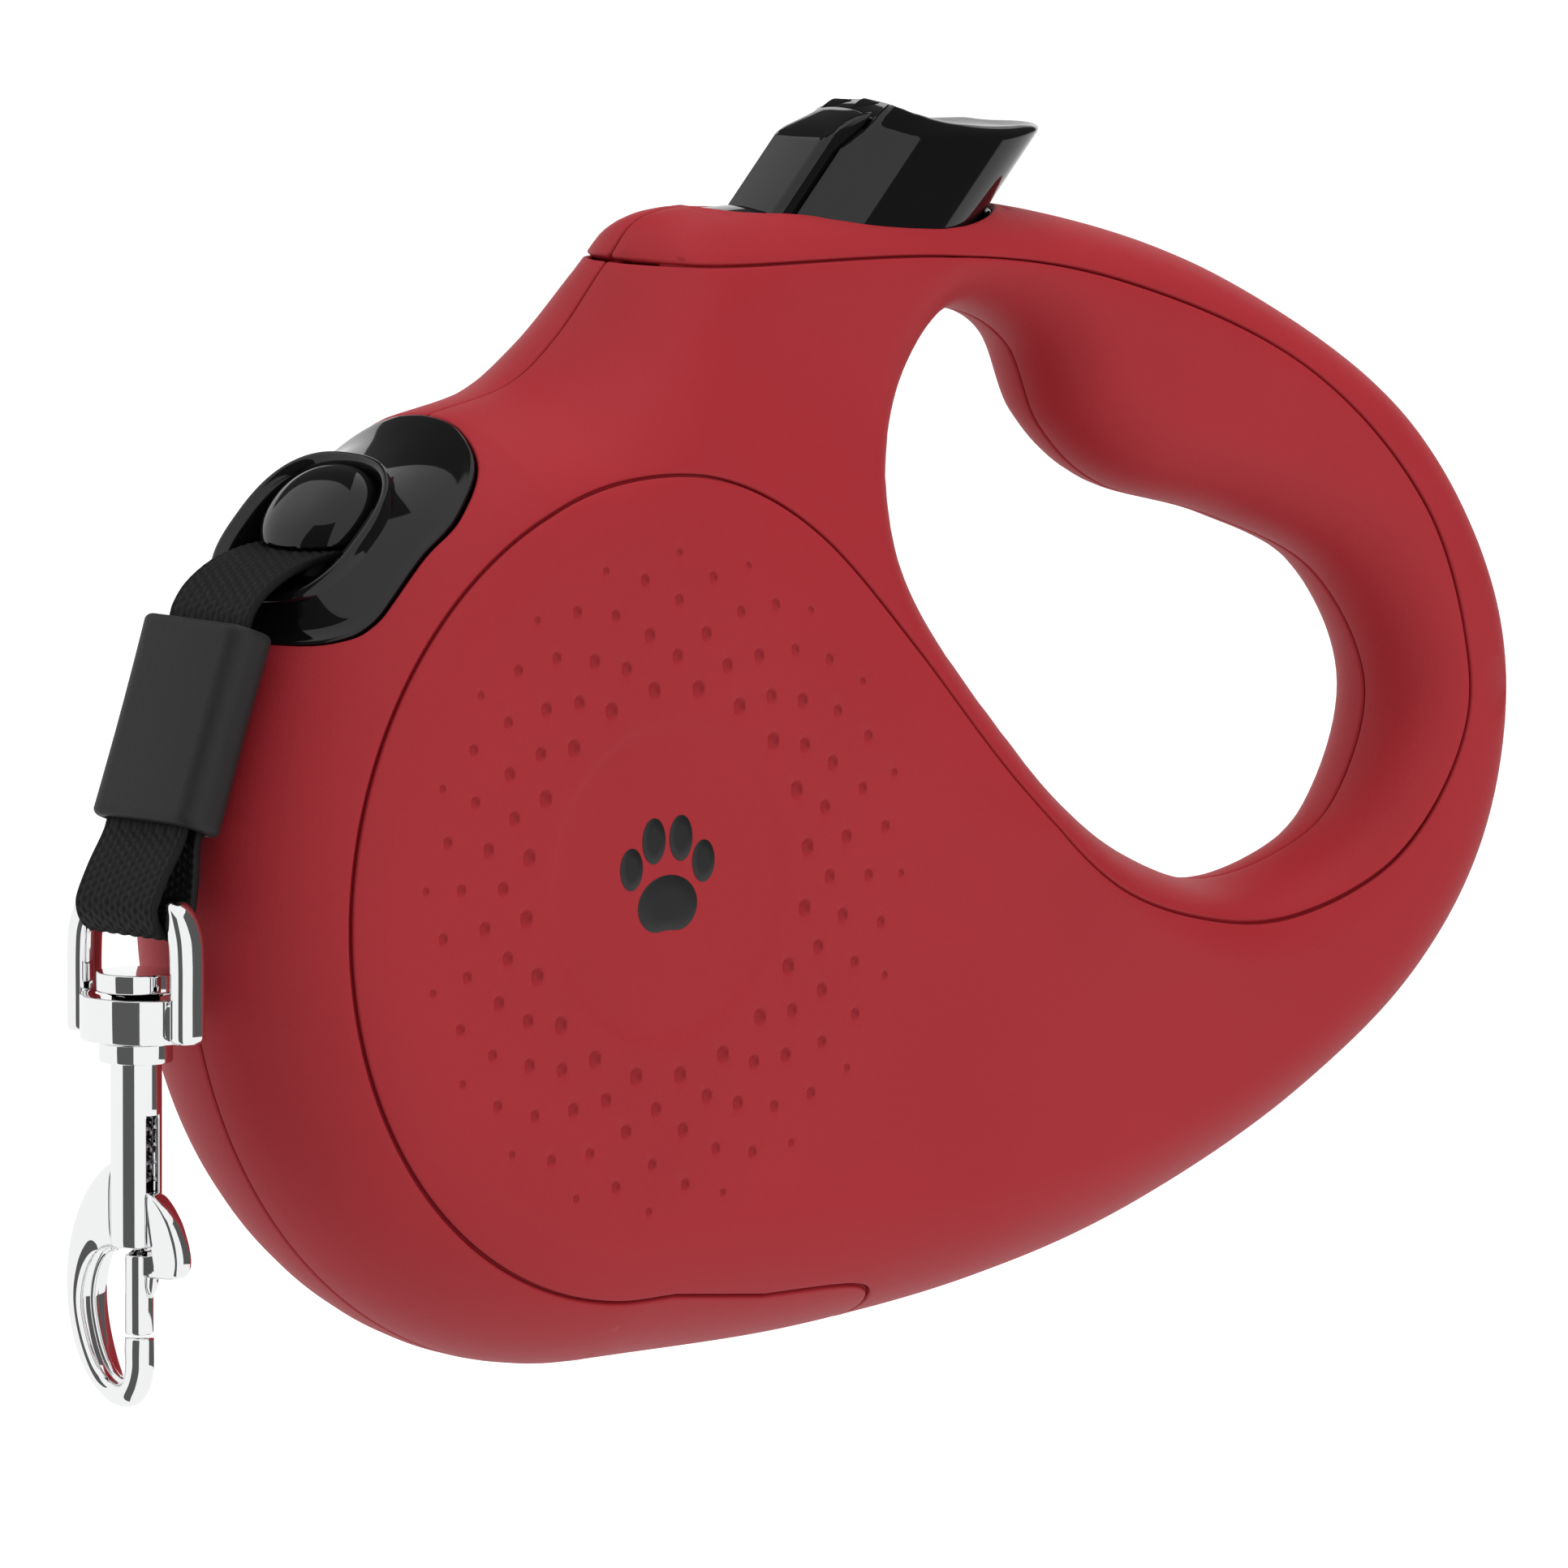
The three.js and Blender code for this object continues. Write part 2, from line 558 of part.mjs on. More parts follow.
const TAPE_ROUTE = [
  [-2.8, 41.95], [-14, 41.2], [-26, 40.3], [-36.7, 39.4], [-42, 38.9], [-46.3, 37.8], [-49.8, 35.9],
  [-51.7, 33.9],
];

function tapeStrip() {
  const { width, thick } = TAPE;
  const [downX, downZ] = [hangLine.x / SLEEVE_LENGTH, hangLine.y / SLEEVE_LENGTH];
  const last = [SLEEVE.top[0] + downX * 10, SLEEVE.top[1] + downZ * 10];
  const middle = splined([...TAPE_ROUTE, SLEEVE.top, last], 30);
  const sides = [0.5, -0.5].map((share) => middle.map((p, i, all) => nudged(p, i, all, share * thick)));
  return slab(new THREE.Shape([...sides[0], ...sides[1].reverse()]), -width / 2, width / 2);
}

// The tape's end, which leaves the sleeve, goes round the bail's bar and comes back up the sleeve.
function tapeLoop() {
  const reach = Math.hypot(BAR.x - SLEEVE.bottom[0], BAR.z - SLEEVE.bottom[1]);
  const tail = -11;
  const around = (radius) => {
    const points = [];
    for (let i = 0; i <= 10; i++) {
      const turn = Math.PI - (i / 10) * Math.PI;
      points.push([radius * Math.cos(turn), reach + radius * Math.sin(turn)]);
    }
    return points;
  };
  const outside = [[-1.75, tail], [-1.75, 0], ...around(3.5), [1.75, 0], [1.75, tail]];
  const inside = [[-0.55, tail], [-0.55, 0], ...around(2.3), [0.55, 0], [0.55, tail]];
  // Drawn with its own down along the second axis, then turned onto the hanging line.
  const outline = outlineOf([...outside, ...inside.reverse()].map(([a, b]) => [-b, a]));
  const flat = slab(outline, -TAPE.width / 2, TAPE.width / 2);
  const turn = 180 - THREE.MathUtils.radToDeg(HANG_SLOPE);
  return atSleeveEnd(flat.rotate([0, turn, 0]));
}

function sleeve() {
  const { width, thick } = SLEEVE;
  const outline = rectangle(-thick / 2, thick / 2, -width / 2, width / 2, 2.4);
  const body = along(HANG_SLOPE, outline, -SLEEVE_LENGTH, 0, 0.5);
  const hole = along(HANG_SLOPE, rectangle(-2.1, 2.1, -6.7, 6.7), -SLEEVE_LENGTH - 5, 5);
  return atSleeveEnd(cut(body, hole));
}

// ---- Bolt snap ----
function wire(points, radius, steps, sides = 8) {
  const path = new THREE.CatmullRomCurve3(points.map(([y, z]) => new THREE.Vector3(BAR.x, y, z)));
  return solid(new THREE.ExtrudeGeometry(oval(radius, radius, sides), { steps, extrudePath: path }));
}

function upright(radius, low, high, segments = 20, y = 0) {
  const geometry = new THREE.CylinderGeometry(radius, radius, high - low, segments);
  geometry.rotateX(Math.PI / 2);
  geometry.translate(BAR.x, y, (low + high) / 2);
  return solid(geometry);
}

const ARM = 8.3; // from the snap's middle line to the bail's arms
const COLLAR = { radius: 6.1, low: -13.2, high: -8.4 };
const CAP = { radius: 4.4, low: -8, high: -5.8 };
const NECK = { radius: 4.1, low: -15.7, high: -13.7 };
const THUMB_TAB = { radius: 4.6, thick: 1.5, y: -4.6, z: -35.6 };

function buildBail() {
  const arch = [
    [-ARM, -9], [-ARM, -4], [0.3 - ARM, -0.7], [-6.5, BAR.z], [0, BAR.z], [6.5, BAR.z],
    [ARM - 0.3, -0.7], [ARM, -4], [ARM, -9],
  ];
  const collar = upright(COLLAR.radius, COLLAR.low, COLLAR.high, 24);
  const across = rectangle(BAR.x - BAR.radius, BAR.x + BAR.radius, COLLAR.low, COLLAR.high);
  const lugs = slab(across, -ARM - 1.5, ARM + 1.5);
  return cut(join(wire(arch, BAR.radius, 36), collar, lugs), upright(3, -20, 0, 20));
}

function buildHook() {
  const line = [
    [1.6, -28.4], [6.4, -31.3], [8.9, -37.2], [8.9, -42.3], [7.7, -46.9], [5.1, -50.7], [2.1, -52.2],
    [-0.3, -50.8], [BOLT.y, -47.6],
  ];
  const neck = upright(NECK.radius, NECK.low, NECK.high);
  const barrel = join(neck, upright(BARREL.radius, BARREL.bottom, BARREL.top, 16));
  const bore = upright(1.97, BARREL.bottom - 3, -18.5, 12, BOLT.y);
  const slotOutline = rectangle(BAR.x - 1, BAR.x + 1, BARREL.bottom - 3, -22.4);
  const thumbSlot = slab(slotOutline, -6, BOLT.y);
  const roomForBolt = upright(3.1, BOLT.tip - 0.4, BARREL.bottom + 1, 12, BOLT.y);
  return biggest(cut(join(barrel, cut(wire(line, 1.75, 30), roomForBolt)), bore, thumbSlot));
}

function buildBolt() {
  const { radius, thick, y, z } = THUMB_TAB;
  const wheel = solid(new THREE.CylinderGeometry(radius, radius, thick, 20).rotateZ(Math.PI / 2));
  const oneSide = slab(rectangle(BAR.x - 5, BAR.x + 5, -60, 0), -20, BOLT.y);
  const tab = wheel.translate([BAR.x, y, z]).intersect(oneSide);
  return join(upright(BOLT.radius, BOLT.tip, -31, 12, BOLT.y), tab);
}

function boltSpring() {
  const [low, high, radius] = [-30.6, -19, 1.3];
  const place = (turn, t) => [
    BAR.x + radius * Math.cos(turn), BOLT.y + radius * Math.sin(turn), low + (high - low) * t,
  ];
  return coil(place, 6, 0.25, 7, 4);
}

function buildSnap() {
  return {
    hook_bail: buildBail(),
    swivel_rivet: join(upright(CAP.radius, CAP.low, CAP.high), upright(2.7, -13.6, -7.9)),
    hook_body: buildHook(),
    hook_bolt: buildBolt(),
    bolt_spring: boltSpring(),
  };
}

// ---- The assembly ----
const leash = new THREE.Group();
leash.position.set(-GRIP.x, 0, -GRIP.z);

function add(pieces, materialOf) {
  for (const [name, made] of Object.entries(pieces)) {
    const mesh = new THREE.Mesh(toGeometry(made), MATERIALS[materialOf(name)]());
    mesh.name = name;
    leash.add(mesh);
  }
}

const { outer, inner, pieces: casePieces } = buildCase();
add(casePieces, () => "red");
add(buildNozzle(outer, inner), () => "gloss");
add(buildButtons(outer), (name) => {
  if (name.endsWith("spring")) return "steel";
  return name.endsWith("guide") ? "inner" : "gloss";
});
add(buildReel(), (name) => {
  if (/spring$|axle|screw|pin/.test(name)) return "steel";
  if (name.startsWith("bush")) return "brass";
  return name === "wound_tape" ? "webbing" : "inner";
});
add(caseScrews(), () => "steel");
add({ leash_tape: tapeStrip(), tape_loop: tapeLoop() }, () => "webbing");
add({ rubber_sleeve: sleeve() }, () => "rubber");
add(buildSnap(), (name) => (name === "bolt_spring" ? "steel" : "chrome"));

const root = new THREE.Group();
root.add(leash);
export default root;
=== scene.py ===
"""How the retractable leash looks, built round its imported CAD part.

Shapes are drawn in millimetres about the reel's axis, and placed in the row frame in metres.
X runs from the nozzle to the handle, Y from the left side of the case to the right, and Z is up.
"""

import math

import bmesh
import bpy
import numpy as np
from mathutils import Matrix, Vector
from mathutils.geometry import delaunay_2d_cdt


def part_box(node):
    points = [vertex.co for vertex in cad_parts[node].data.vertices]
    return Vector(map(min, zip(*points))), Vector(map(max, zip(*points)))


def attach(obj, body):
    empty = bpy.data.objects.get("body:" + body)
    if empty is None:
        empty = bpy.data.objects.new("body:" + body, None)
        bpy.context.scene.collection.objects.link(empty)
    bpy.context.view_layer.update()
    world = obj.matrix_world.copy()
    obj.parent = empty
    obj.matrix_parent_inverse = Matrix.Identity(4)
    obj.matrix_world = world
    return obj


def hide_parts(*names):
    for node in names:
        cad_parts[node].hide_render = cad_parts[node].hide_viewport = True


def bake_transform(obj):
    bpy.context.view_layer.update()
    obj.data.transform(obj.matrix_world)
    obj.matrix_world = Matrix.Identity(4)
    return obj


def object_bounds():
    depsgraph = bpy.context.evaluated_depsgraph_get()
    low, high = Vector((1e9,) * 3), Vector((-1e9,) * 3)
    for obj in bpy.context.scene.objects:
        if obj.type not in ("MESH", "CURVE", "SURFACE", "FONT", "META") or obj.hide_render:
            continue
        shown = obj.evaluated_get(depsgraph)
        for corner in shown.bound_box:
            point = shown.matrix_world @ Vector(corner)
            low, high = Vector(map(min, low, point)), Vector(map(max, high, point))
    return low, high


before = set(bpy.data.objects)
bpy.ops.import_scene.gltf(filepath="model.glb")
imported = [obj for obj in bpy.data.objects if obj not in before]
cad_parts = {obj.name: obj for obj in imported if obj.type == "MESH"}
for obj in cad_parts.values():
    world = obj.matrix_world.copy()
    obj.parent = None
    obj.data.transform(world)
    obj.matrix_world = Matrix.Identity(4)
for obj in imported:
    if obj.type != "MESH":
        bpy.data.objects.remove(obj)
CAD_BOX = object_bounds()

# ---- The unit, and the place taken from the frame ----
MM = 0.001
axle_low, axle_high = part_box("axle")
REEL = Vector(((axle_low.x + axle_high.x) / 2, 0, (axle_low.z + axle_high.z) / 2))


# ---- Driving dimensions, in millimetres ----
DISC_RADIUS = 56.0
DISC_HALF = 19.5
HANDLE_HALF = 9.6
TAPER_FROM, TAPER_TO, TAPER_RISE = 50, 122, 1.4
EDGE_FRONT, EDGE_HANDLE, EDGE_OPENING = 16.6, 8.8, 8.6
EDGE_FROM, EDGE_TO, EDGE_RISE = 15, 115, 0.9
PLATEAU = 40.6
DOME_SAG = 0.8
RECESS = {"radius": 18.0, "deep": 0.22, "blend": 0.5}
SEAM_START = 0.42
RIM = 0.3
SHELL = 1.9
COVER_RADIUS, COVER_DROP = 46.7, 1.0
GROOVE_HALF = 0.46
GROOVE_TONGUE = {"from": 0.85, "to": 1.5, "wider": 0.5}
SEAM_TONGUE = {"from": 1.3, "to": 1.8, "half": 0.9}

BELLY_TO_NECK = [
    (0, -56), (32, -55.6), (60, -52.6), (86, -47), (112, -37.8), (132, -25.6), (144, -10),
    (147.7, 9), (142.4, 26.5), (128.5, 43.3), (103, 58.4), (77.5, 67.2), (52, 71.6), (26, 72.8),
    (14.4, 72.2), (8.9, 67.6), (1.3, 60), (-6.5, 55.1), (-18.3, 52.9),
]
FINGER_OPENING = [
    (64.4, 57.2), (72, 52.6), (77, 43), (86.5, 35.6), (104, 30.4), (120.5, 22.6), (129, 9),
    (124.2, -3.9), (114.2, -9.5), (101, -11), (86.5, -6.2), (73, 1.6), (62.4, 11.6), (49.6, 27.4),
    (47.1, 38), (50.5, 50), (57, 57.2),
]
COVER_START = [(39.6, -56.5), (38.4, -52), (35.6, -49.9), (30, -49.2), (18, -49.1)]
COVER_EDGE_REAR = [
    (42.5, 21.9), (57.7, 5.1), (74.2, -7.7), (94.5, -14), (110.2, -15),
    (125.4, -10.2), (134.9, 0.8), (136.4, 12.6), (129.2, 30.7), (110.2, 48.1), (81, 60.2),
    (54.4, 65.1), (21.4, 66.9), (4.9, 68.4),
]

DOT_RINGS = [(22.0, 0.95), (25.5, 0.81), (28.3, 0.81), (31.8, 0.68), (34.6, 0.68), (37.1, 0.49)]
DOTS_IN_RING = 20
DOT_FIRST = math.radians(5.16)
DOT_DEPTH = 0.8

SCREWS = [(-49.4, -14.2), (1, -51.9), (14, 58), (88, -30), (141.6, 8), (113, 38)]
COUNTERBORE = {"radius": 3.0, "floor": 5.1, "wall": 0.6, "base": 0.8, "under_skin": 1.3}

NOZZLE_BORDER = [
    (109.3, 0), (110.2, 6), (114, 11.5), (121.7, 14), (129.4, 14), (136.4, 14), (141, 13.6),
    (144.4, 12), (147, 8), (148.5, 0),
]
MOUTH = math.radians(132.5)
MOUTH_OUTER, MOUTH_INNER = (11.0, 10.6), (9.3, 8.9)
OUTER_POWER, INNER_POWER = 0.78, 0.74
MOUTH_DEPTH, LIP_HEIGHT = 46.0, 57.5
POINTS_ROUND_MOUTH = 112
BEZEL = {
    "inner": 0.955, "flare": 2.6, "hollow": 0.5, "over_case": 0.15, "under_lip": 0.1, "thick": 1.3,
    "gap": 0.12,
}
RING = {"inner_wall": 3.4, "outer_wall": 0.8, "under_case": 3.2, "drawn_in": (0.97, 0.93)}
LIP = {"high": 0.8, "inward": 1.3, "tilt": 0.2}
GUIDE = {
    "across": 3.0, "far": 52.4, "above": 7.4, "below": 8.0, "half_y": 7.7, "high": 6.6,
    "fullness": 0.7, "squareness": 0.92, "over_tape": 0.35,
}

PRESS = math.pi / 4
WELL_BORDER = [
    (20.8, 0), (21.4, 1.3), (23.0, 2.4), (25.5, 3.7), (28.9, 4.5), (31.6, 4.9), (35, 5.5), (38.6, 6.4),
    (43.2, 7.2), (48.1, 7.6), (53.3, 7.7), (56.5, 7.5), (59.4, 7.1), (62, 6.4), (64.4, 5.4), (66.6, 3.9),
    (68.3, 2.1), (69, 0),
]
LOCK = {"low": -28.3, "high": -24.5, "half": 4.3, "corner": 0.9, "foot": 71}
BRAKE_SIDE = [
    (-26.1, 4.95), (-23.6, 5.6), (-21, 6.3), (-19.3, 6.68), (-18.4, 6.82), (-15, 7.0), (-11.2, 7.15),
    (-8.8, 7.1), (-7.0, 6.72), (-5.4, 6), (-4.0, 5), (-2.6, 3.5), (-1.7, 1.8), (-1.4, 0),
]
BRAKE_SKIRT = 66.3
BUTTON_GAP = 0.3
TRAY = {"drop": 0.55, "thick": 1.2, "gap": 0.12, "step": 0.7}

TAPE_WIDTH, TAPE_THICK = 12.5, 1.2
SLEEVE_TOP, SLEEVE_BOTTOM = np.array((-52.4, 32.2)), np.array((-60.8, 10.3))
SLEEVE_WIDTH, SLEEVE_THICK, SLEEVE_CORNER = 17, 6.6, 2.6
BAR_X, BAR_Z, BAR_RADIUS = -63.8, 1.7, 1.65

# A turned profile's nearest radius, which keeps the points of its ends apart.
NEAR_AXIS = 0.02


# ---- Numbers ----
def smoothstep(value, low, high):
    share = np.clip((value - low) / (high - low), 0, 1)
    return share * share * (3 - 2 * share)


def rounded(share):
    """The height of a quarter circle, from 0 at share 0 to 1 from share 1 on."""
    return np.sqrt(1 - (1 - np.clip(share, 0, 1)) ** 2)


def spline(points, spacing, closed=False):
    """A smooth curve through points, with about the given spacing between its own points."""
    knots = np.array(points, float)
    if closed:
        knots = np.vstack([knots[-1], knots, knots[:2]])
    else:
        knots = np.vstack([2 * knots[0] - knots[1], knots, 2 * knots[-1] - knots[-2]])
    parts = []
    for before, start, end, after in zip(knots, knots[1:], knots[2:], knots[3:]):
        count = max(2, math.ceil(np.linalg.norm(end - start) / spacing))
        t = (np.arange(count) / count)[:, None]
        out, into = (end - before) / 2, (after - start) / 2
        bend = (2 * start - 2 * end + out + into) * t**3
        bend += (-3 * start + 3 * end - 2 * out - into) * t**2
        parts.append(bend + out * t + start)
    if not closed:
        parts.append(knots[-2:-1])
    return np.vstack(parts)


def once_round(count):
    """Angles at even steps once round a circle."""
    return np.arange(count) * 2 * math.pi / count


def directions(turn):
    """Unit vectors at the given angles."""
    return np.column_stack([np.cos(turn), np.sin(turn)])


def arc(centre, radius, start, end, spacing):
    """Points on a circle's arc, from one angle to another in degrees."""
    count = math.ceil(abs(math.radians(end - start)) * radius / spacing)
    turn = np.radians(np.linspace(start, end, count + 1))
    return np.array(centre) + radius * directions(turn)


def closed_line(loop):
    """A loop's points with the first one again at the end."""
    return np.vstack([loop, loop[:1]])


def mirrored(half):
    """A loop from its one half, which starts and ends on the middle line."""
    return np.vstack([half, (half * (1, -1))[::-1][1:-1]])


def distance(points, line):
    """How far each point is from a line of straight stretches."""
    start, run = line[:-1], np.diff(line, axis=0)
    length = np.maximum((run**2).sum(1), 1e-12)
    nearest = np.full(len(points), 1e9)
    for first in range(0, len(points), 2000):
        part = points[first : first + 2000, None]
        share = np.clip(((part - start) * run).sum(2) / length, 0, 1)
        gap = part - start - share[..., None] * run
        nearest[first : first + 2000] = np.sqrt((gap**2).sum(2).min(1))
    return nearest


def inside(points, polygon):
    """Which points lie inside a polygon."""
    x, z = points.T
    odd = np.zeros(len(points), bool)
    for (x1, z1), (x2, z2) in zip(polygon, np.roll(polygon, -1, 0)):
        if z1 != z2:
            crosses = (z1 > z) != (z2 > z)
            odd ^= crosses & (x < (x2 - x1) * (z - z1) / (z2 - z1) + x1)
    return odd


def unit(vectors):
    return vectors / np.maximum(np.linalg.norm(vectors, axis=-1, keepdims=True), 1e-12)


def grid_inside(border, low, high, step):
    """The points of a square grid between two corners that lie inside a border."""
    x, y = np.meshgrid(np.arange(low[0], high[0], step), np.arange(low[1], high[1], step))
    grid = np.column_stack([x.ravel(), y.ravel()])
    return grid[inside(grid, border)]


def sideways(line):
    """Unit vectors to the left of a line's direction, one for each of its points."""
    run = unit(np.gradient(line, axis=0))
    return np.column_stack([-run[:, 1], run[:, 0]])


def slanted(slope, across, y, far):
    """Points given along and across a line that climbs at an angle in the side view."""
    x = across * math.sin(slope) + far * math.cos(slope)
    z = far * math.sin(slope) - across * math.cos(slope)
    return np.stack(np.broadcast_arrays(x, y, z), -1)


# ---- Meshes ----
def mesh_object(name, points, faces, material, tidy=True):
    """A mesh from points in millimetres about the reel, placed in the row frame."""
    mesh = bpy.data.meshes.new(name)
    mesh.from_pydata((np.asarray(points, float).reshape(-1, 3) * MM + np.array(REEL)).tolist(), [], faces)
    if tidy:
        made = bmesh.new()
        made.from_mesh(mesh)
        bmesh.ops.remove_doubles(made, verts=made.verts, dist=1e-7)
        bmesh.ops.recalc_face_normals(made, faces=made.faces)
        made.to_mesh(mesh)
        made.free()
    mesh.materials.append(material)
    mesh.shade_smooth()
    piece = bpy.data.objects.new(name, mesh)
    bpy.context.scene.collection.objects.link(piece)
    return piece


def loft(loops, around=False):
    """Faces of a skin over loops of equal length. Its ends are closed, or joined when it goes around."""
    count, size = len(loops), len(loops[0])
    faces = []
    for i in range(count if around else count - 1):
        here, there = i * size, (i + 1) % count * size
        for j in range(size):
            k = (j + 1) % size
            faces.append((here + j, here + k, there + k, there + j))
    if not around:
        faces.append(tuple(range(size - 1, -1, -1)))
        faces.append(tuple(range((count - 1) * size, count * size)))
    return faces


def skinned(loops, around=False):
    """The points and faces of a skin over loops."""
    return np.vstack(loops), loft(loops, around)


def lofted(name, loops, material, around=False):
    return mesh_object(name, *skinned(loops, around), material)


def together(parts):
    """Several (points, faces) joined into one."""
    points, faces, first = [], [], 0
    for part, its_faces in parts:
        part = np.asarray(part, float).reshape(-1, 3)
        points.append(part)
        faces += [tuple(first + i for i in face) for face in its_faces]
        first += len(part)
    return np.vstack(points), faces


def surface_normals(points, faces):
    """A unit normal at each point of a surface whose faces are all triangles, or all quads."""
    corners = np.array(faces).T
    a, b, c = (points[corner] for corner in corners[:3])
    facing = np.cross(b - a, c - a)
    normals = np.zeros_like(points)
    for corner in corners:
        np.add.at(normals, corner, facing)
    return unit(normals)


def border_edges(faces):
    """The edges that only one face has, each in that face's direction."""
    directed = {(face[i - 1], face[i]) for face in faces for i in range(len(face))}
    return [(i, j) for i, j in directed if (j, i) not in directed]


def outward_at_border(points, normals, border):
    """The points on a surface's border, and the unit direction out of the surface at each of them."""
    outward = np.zeros_like(points)
    for i, j in border:
        side = np.cross(points[j] - points[i], normals[i] + normals[j])
        outward[i] += side
        outward[j] += side
    on_border = sorted({i for edge in border for i in edge})
    out, upright = outward[on_border], normals[on_border]
    out -= (out * upright).sum(1, keepdims=True) * upright
    return on_border, unit(out)


def shell(points, faces, thickness, rim=RIM, steps=4):
    """Gives an open surface a thickness below it, with rounded borders."""
    points = np.asarray(points, float)
    normals = surface_normals(points, faces)
    border = border_edges(faces)
    on_border, out = outward_at_border(points, normals, border)
    place = {vertex: k for k, vertex in enumerate(on_border)}
    edge_points, edge_normals = points[on_border], normals[on_border]
    chains = []
    for step in range(1, steps + 1):
        turn = math.pi / 2 * step / steps
        chains.append(edge_points + rim * math.sin(turn) * out - rim * (1 - math.cos(turn)) * edge_normals)
    within = points - thickness * normals
    within[on_border] += rim * out
    size, count = len(points), len(on_border)
    under = size + steps * count
    skin = [*faces, *(tuple(under + i for i in reversed(face)) for face in faces)]
    for i, j in border:
        rows_i = [i, *(size + step * count + place[i] for step in range(steps)), under + i]
        rows_j = [j, *(size + step * count + place[j] for step in range(steps)), under + j]
        for step in range(steps + 1):
            skin.append((rows_j[step], rows_i[step], rows_i[step + 1], rows_j[step + 1]))
    return np.vstack([points, *chains, within]), skin


def triangulation(chains, loose):
    """Points and triangles over loose points and chains, each chain with whether it is closed."""
    edges, count = [], 0
    for chain, closed in chains:
        size = len(chain)
        edges += [(count + i, count + (i + 1) % size) for i in range(size if closed else size - 1)]
        count += size
    flat = np.vstack([*(chain for chain, _ in chains), *loose])
    made = delaunay_2d_cdt([Vector(p) for p in flat], edges, [], 0, 1e-4, False)
    flat = np.array([tuple(p) for p in made[0]])
    return flat, np.array([tuple(face) for face in made[2] if len(face) == 3])


def triangles(chains, loose, kept):
    """Triangles over closed chains and loose points, where kept says so for their middles."""
    flat, faces = triangulation([(chain, True) for chain in chains], loose)
    used, chosen = np.unique(faces[kept(flat[faces].mean(1))], return_inverse=True)
    return flat[used], [tuple(face) for face in chosen.reshape(-1, 3).tolist()]


def rectangle(low, high, half, corner_low, corner_high, count=6, inset=0.0):
    """A rounded rectangle as a loop of (across, y), smaller all round by the inset."""
    loop = []
    corners = [
        (high, -1, corner_high, -90), (high, 1, corner_high, 0),
        (low, 1, corner_low, 90), (low, -1, corner_low, 180),
    ]
    middle = (low + high) / 2
    for end, side, corner, start in corners:
        corner = max(corner - inset, 0.15)
        across = end - math.copysign(min(inset, abs(end - middle) - 0.16) + corner, end - middle)
        y = side * max(half - inset - corner, 0.01)
        turn = np.radians(start + 90 * np.arange(count + 1) / count)
        loop.append(np.column_stack([across + corner * np.cos(turn), y + corner * np.sin(turn)]))
    return np.vstack(loop)


def oval(radii, count, power=1.0):
    """A loop of points on an oval, squarer as its power falls below one."""
    wave = directions(once_round(count))
    return np.array(radii) * np.sign(wave) * np.abs(wave) ** power


def softened(profile, radius, steps=4):
    """A chain of points with its inner corners rounded."""
    profile = np.array(profile, float)
    chain = [profile[0]]
    for before, corner, after in zip(profile, profile[1:], profile[2:]):
        reach = min(radius, np.linalg.norm(before - corner) / 2.05, np.linalg.norm(after - corner) / 2.05)
        start = corner + unit(before - corner) * reach
        end = corner + unit(after - corner) * reach
        for share in np.linspace(0, 1, steps + 1):
            chain.append((1 - share) ** 2 * start + 2 * share * (1 - share) * corner + share**2 * end)
    chain.append(profile[-1])
    return np.array(chain)


def turned(profile, centre_x, centre_y, count=72):
    """Loops of a shape turned about an upright line: the profile is (radius, z)."""
    round_axis = directions(once_round(count))
    centre = np.array((centre_x, centre_y))
    return [np.column_stack([centre + radius * round_axis, np.full(count, z)]) for radius, z in profile]


def sweep(path, side, half_side, half_other, count=28, power=1.0):
    """Oval loops along a flat path of 3-D points; side is the direction square to the path's plane."""
    path = np.asarray(path, float)
    side = np.array(side, float)
    run = unit(np.gradient(path, axis=0))
    other = unit(np.cross(run, side))
    wide = np.broadcast_to(half_side, len(path))
    deep = np.broadcast_to(half_other, len(path))
    ring = oval((1, 1), count, power)
    stations = zip(path, other, wide, deep)
    return [place + w * ring[:, :1] * side + d * ring[:, 1:] * out for place, out, w, d in stations]


# ---- The case in the side view ----
OUTLINE = np.vstack([spline(BELLY_TO_NECK, 1.2)[:-1], arc((0, 0), DISC_RADIUS, 109.2, 270, 1.2)[:-1]])
OPENING = spline(FINGER_OPENING, 1.2, closed=True)
CLOSED_OPENING = closed_line(OPENING)
GROOVE = np.vstack([
    spline(COVER_START, 1.0)[:-1],
    spline(np.vstack([arc((0, -COVER_DROP), COVER_RADIUS, -85, -315, 9), COVER_EDGE_REAR]), 1.2),
    [(-6, 69)],
])


def edge_width(points):
    """How wide the case's rounded edge is at points of the side view: slender at the handle."""
    x, z = points.T
    slender = smoothstep(x + EDGE_RISE * np.maximum(z, 0), EDGE_FROM, EDGE_TO)
    return EDGE_FRONT + (EDGE_HANDLE - EDGE_FRONT) * slender


def case_half(points):
    """Half the case's thickness at points of the side view."""
    x, z = points.T
    far = np.hypot(x, z)
    share = smoothstep(x + TAPER_RISE * np.maximum(z, 0), TAPER_FROM, TAPER_TO)
    flat = DISC_HALF - DOME_SAG * np.minimum(far / PLATEAU, 1) ** 2
    flat += (HANDLE_HALF - flat) * share
    outer = rounded(distance(points, OUTLINE) / edge_width(points))
    opening = rounded(distance(points, CLOSED_OPENING) / EDGE_OPENING)
    return SEAM_START + (flat - SEAM_START) * outer * opening


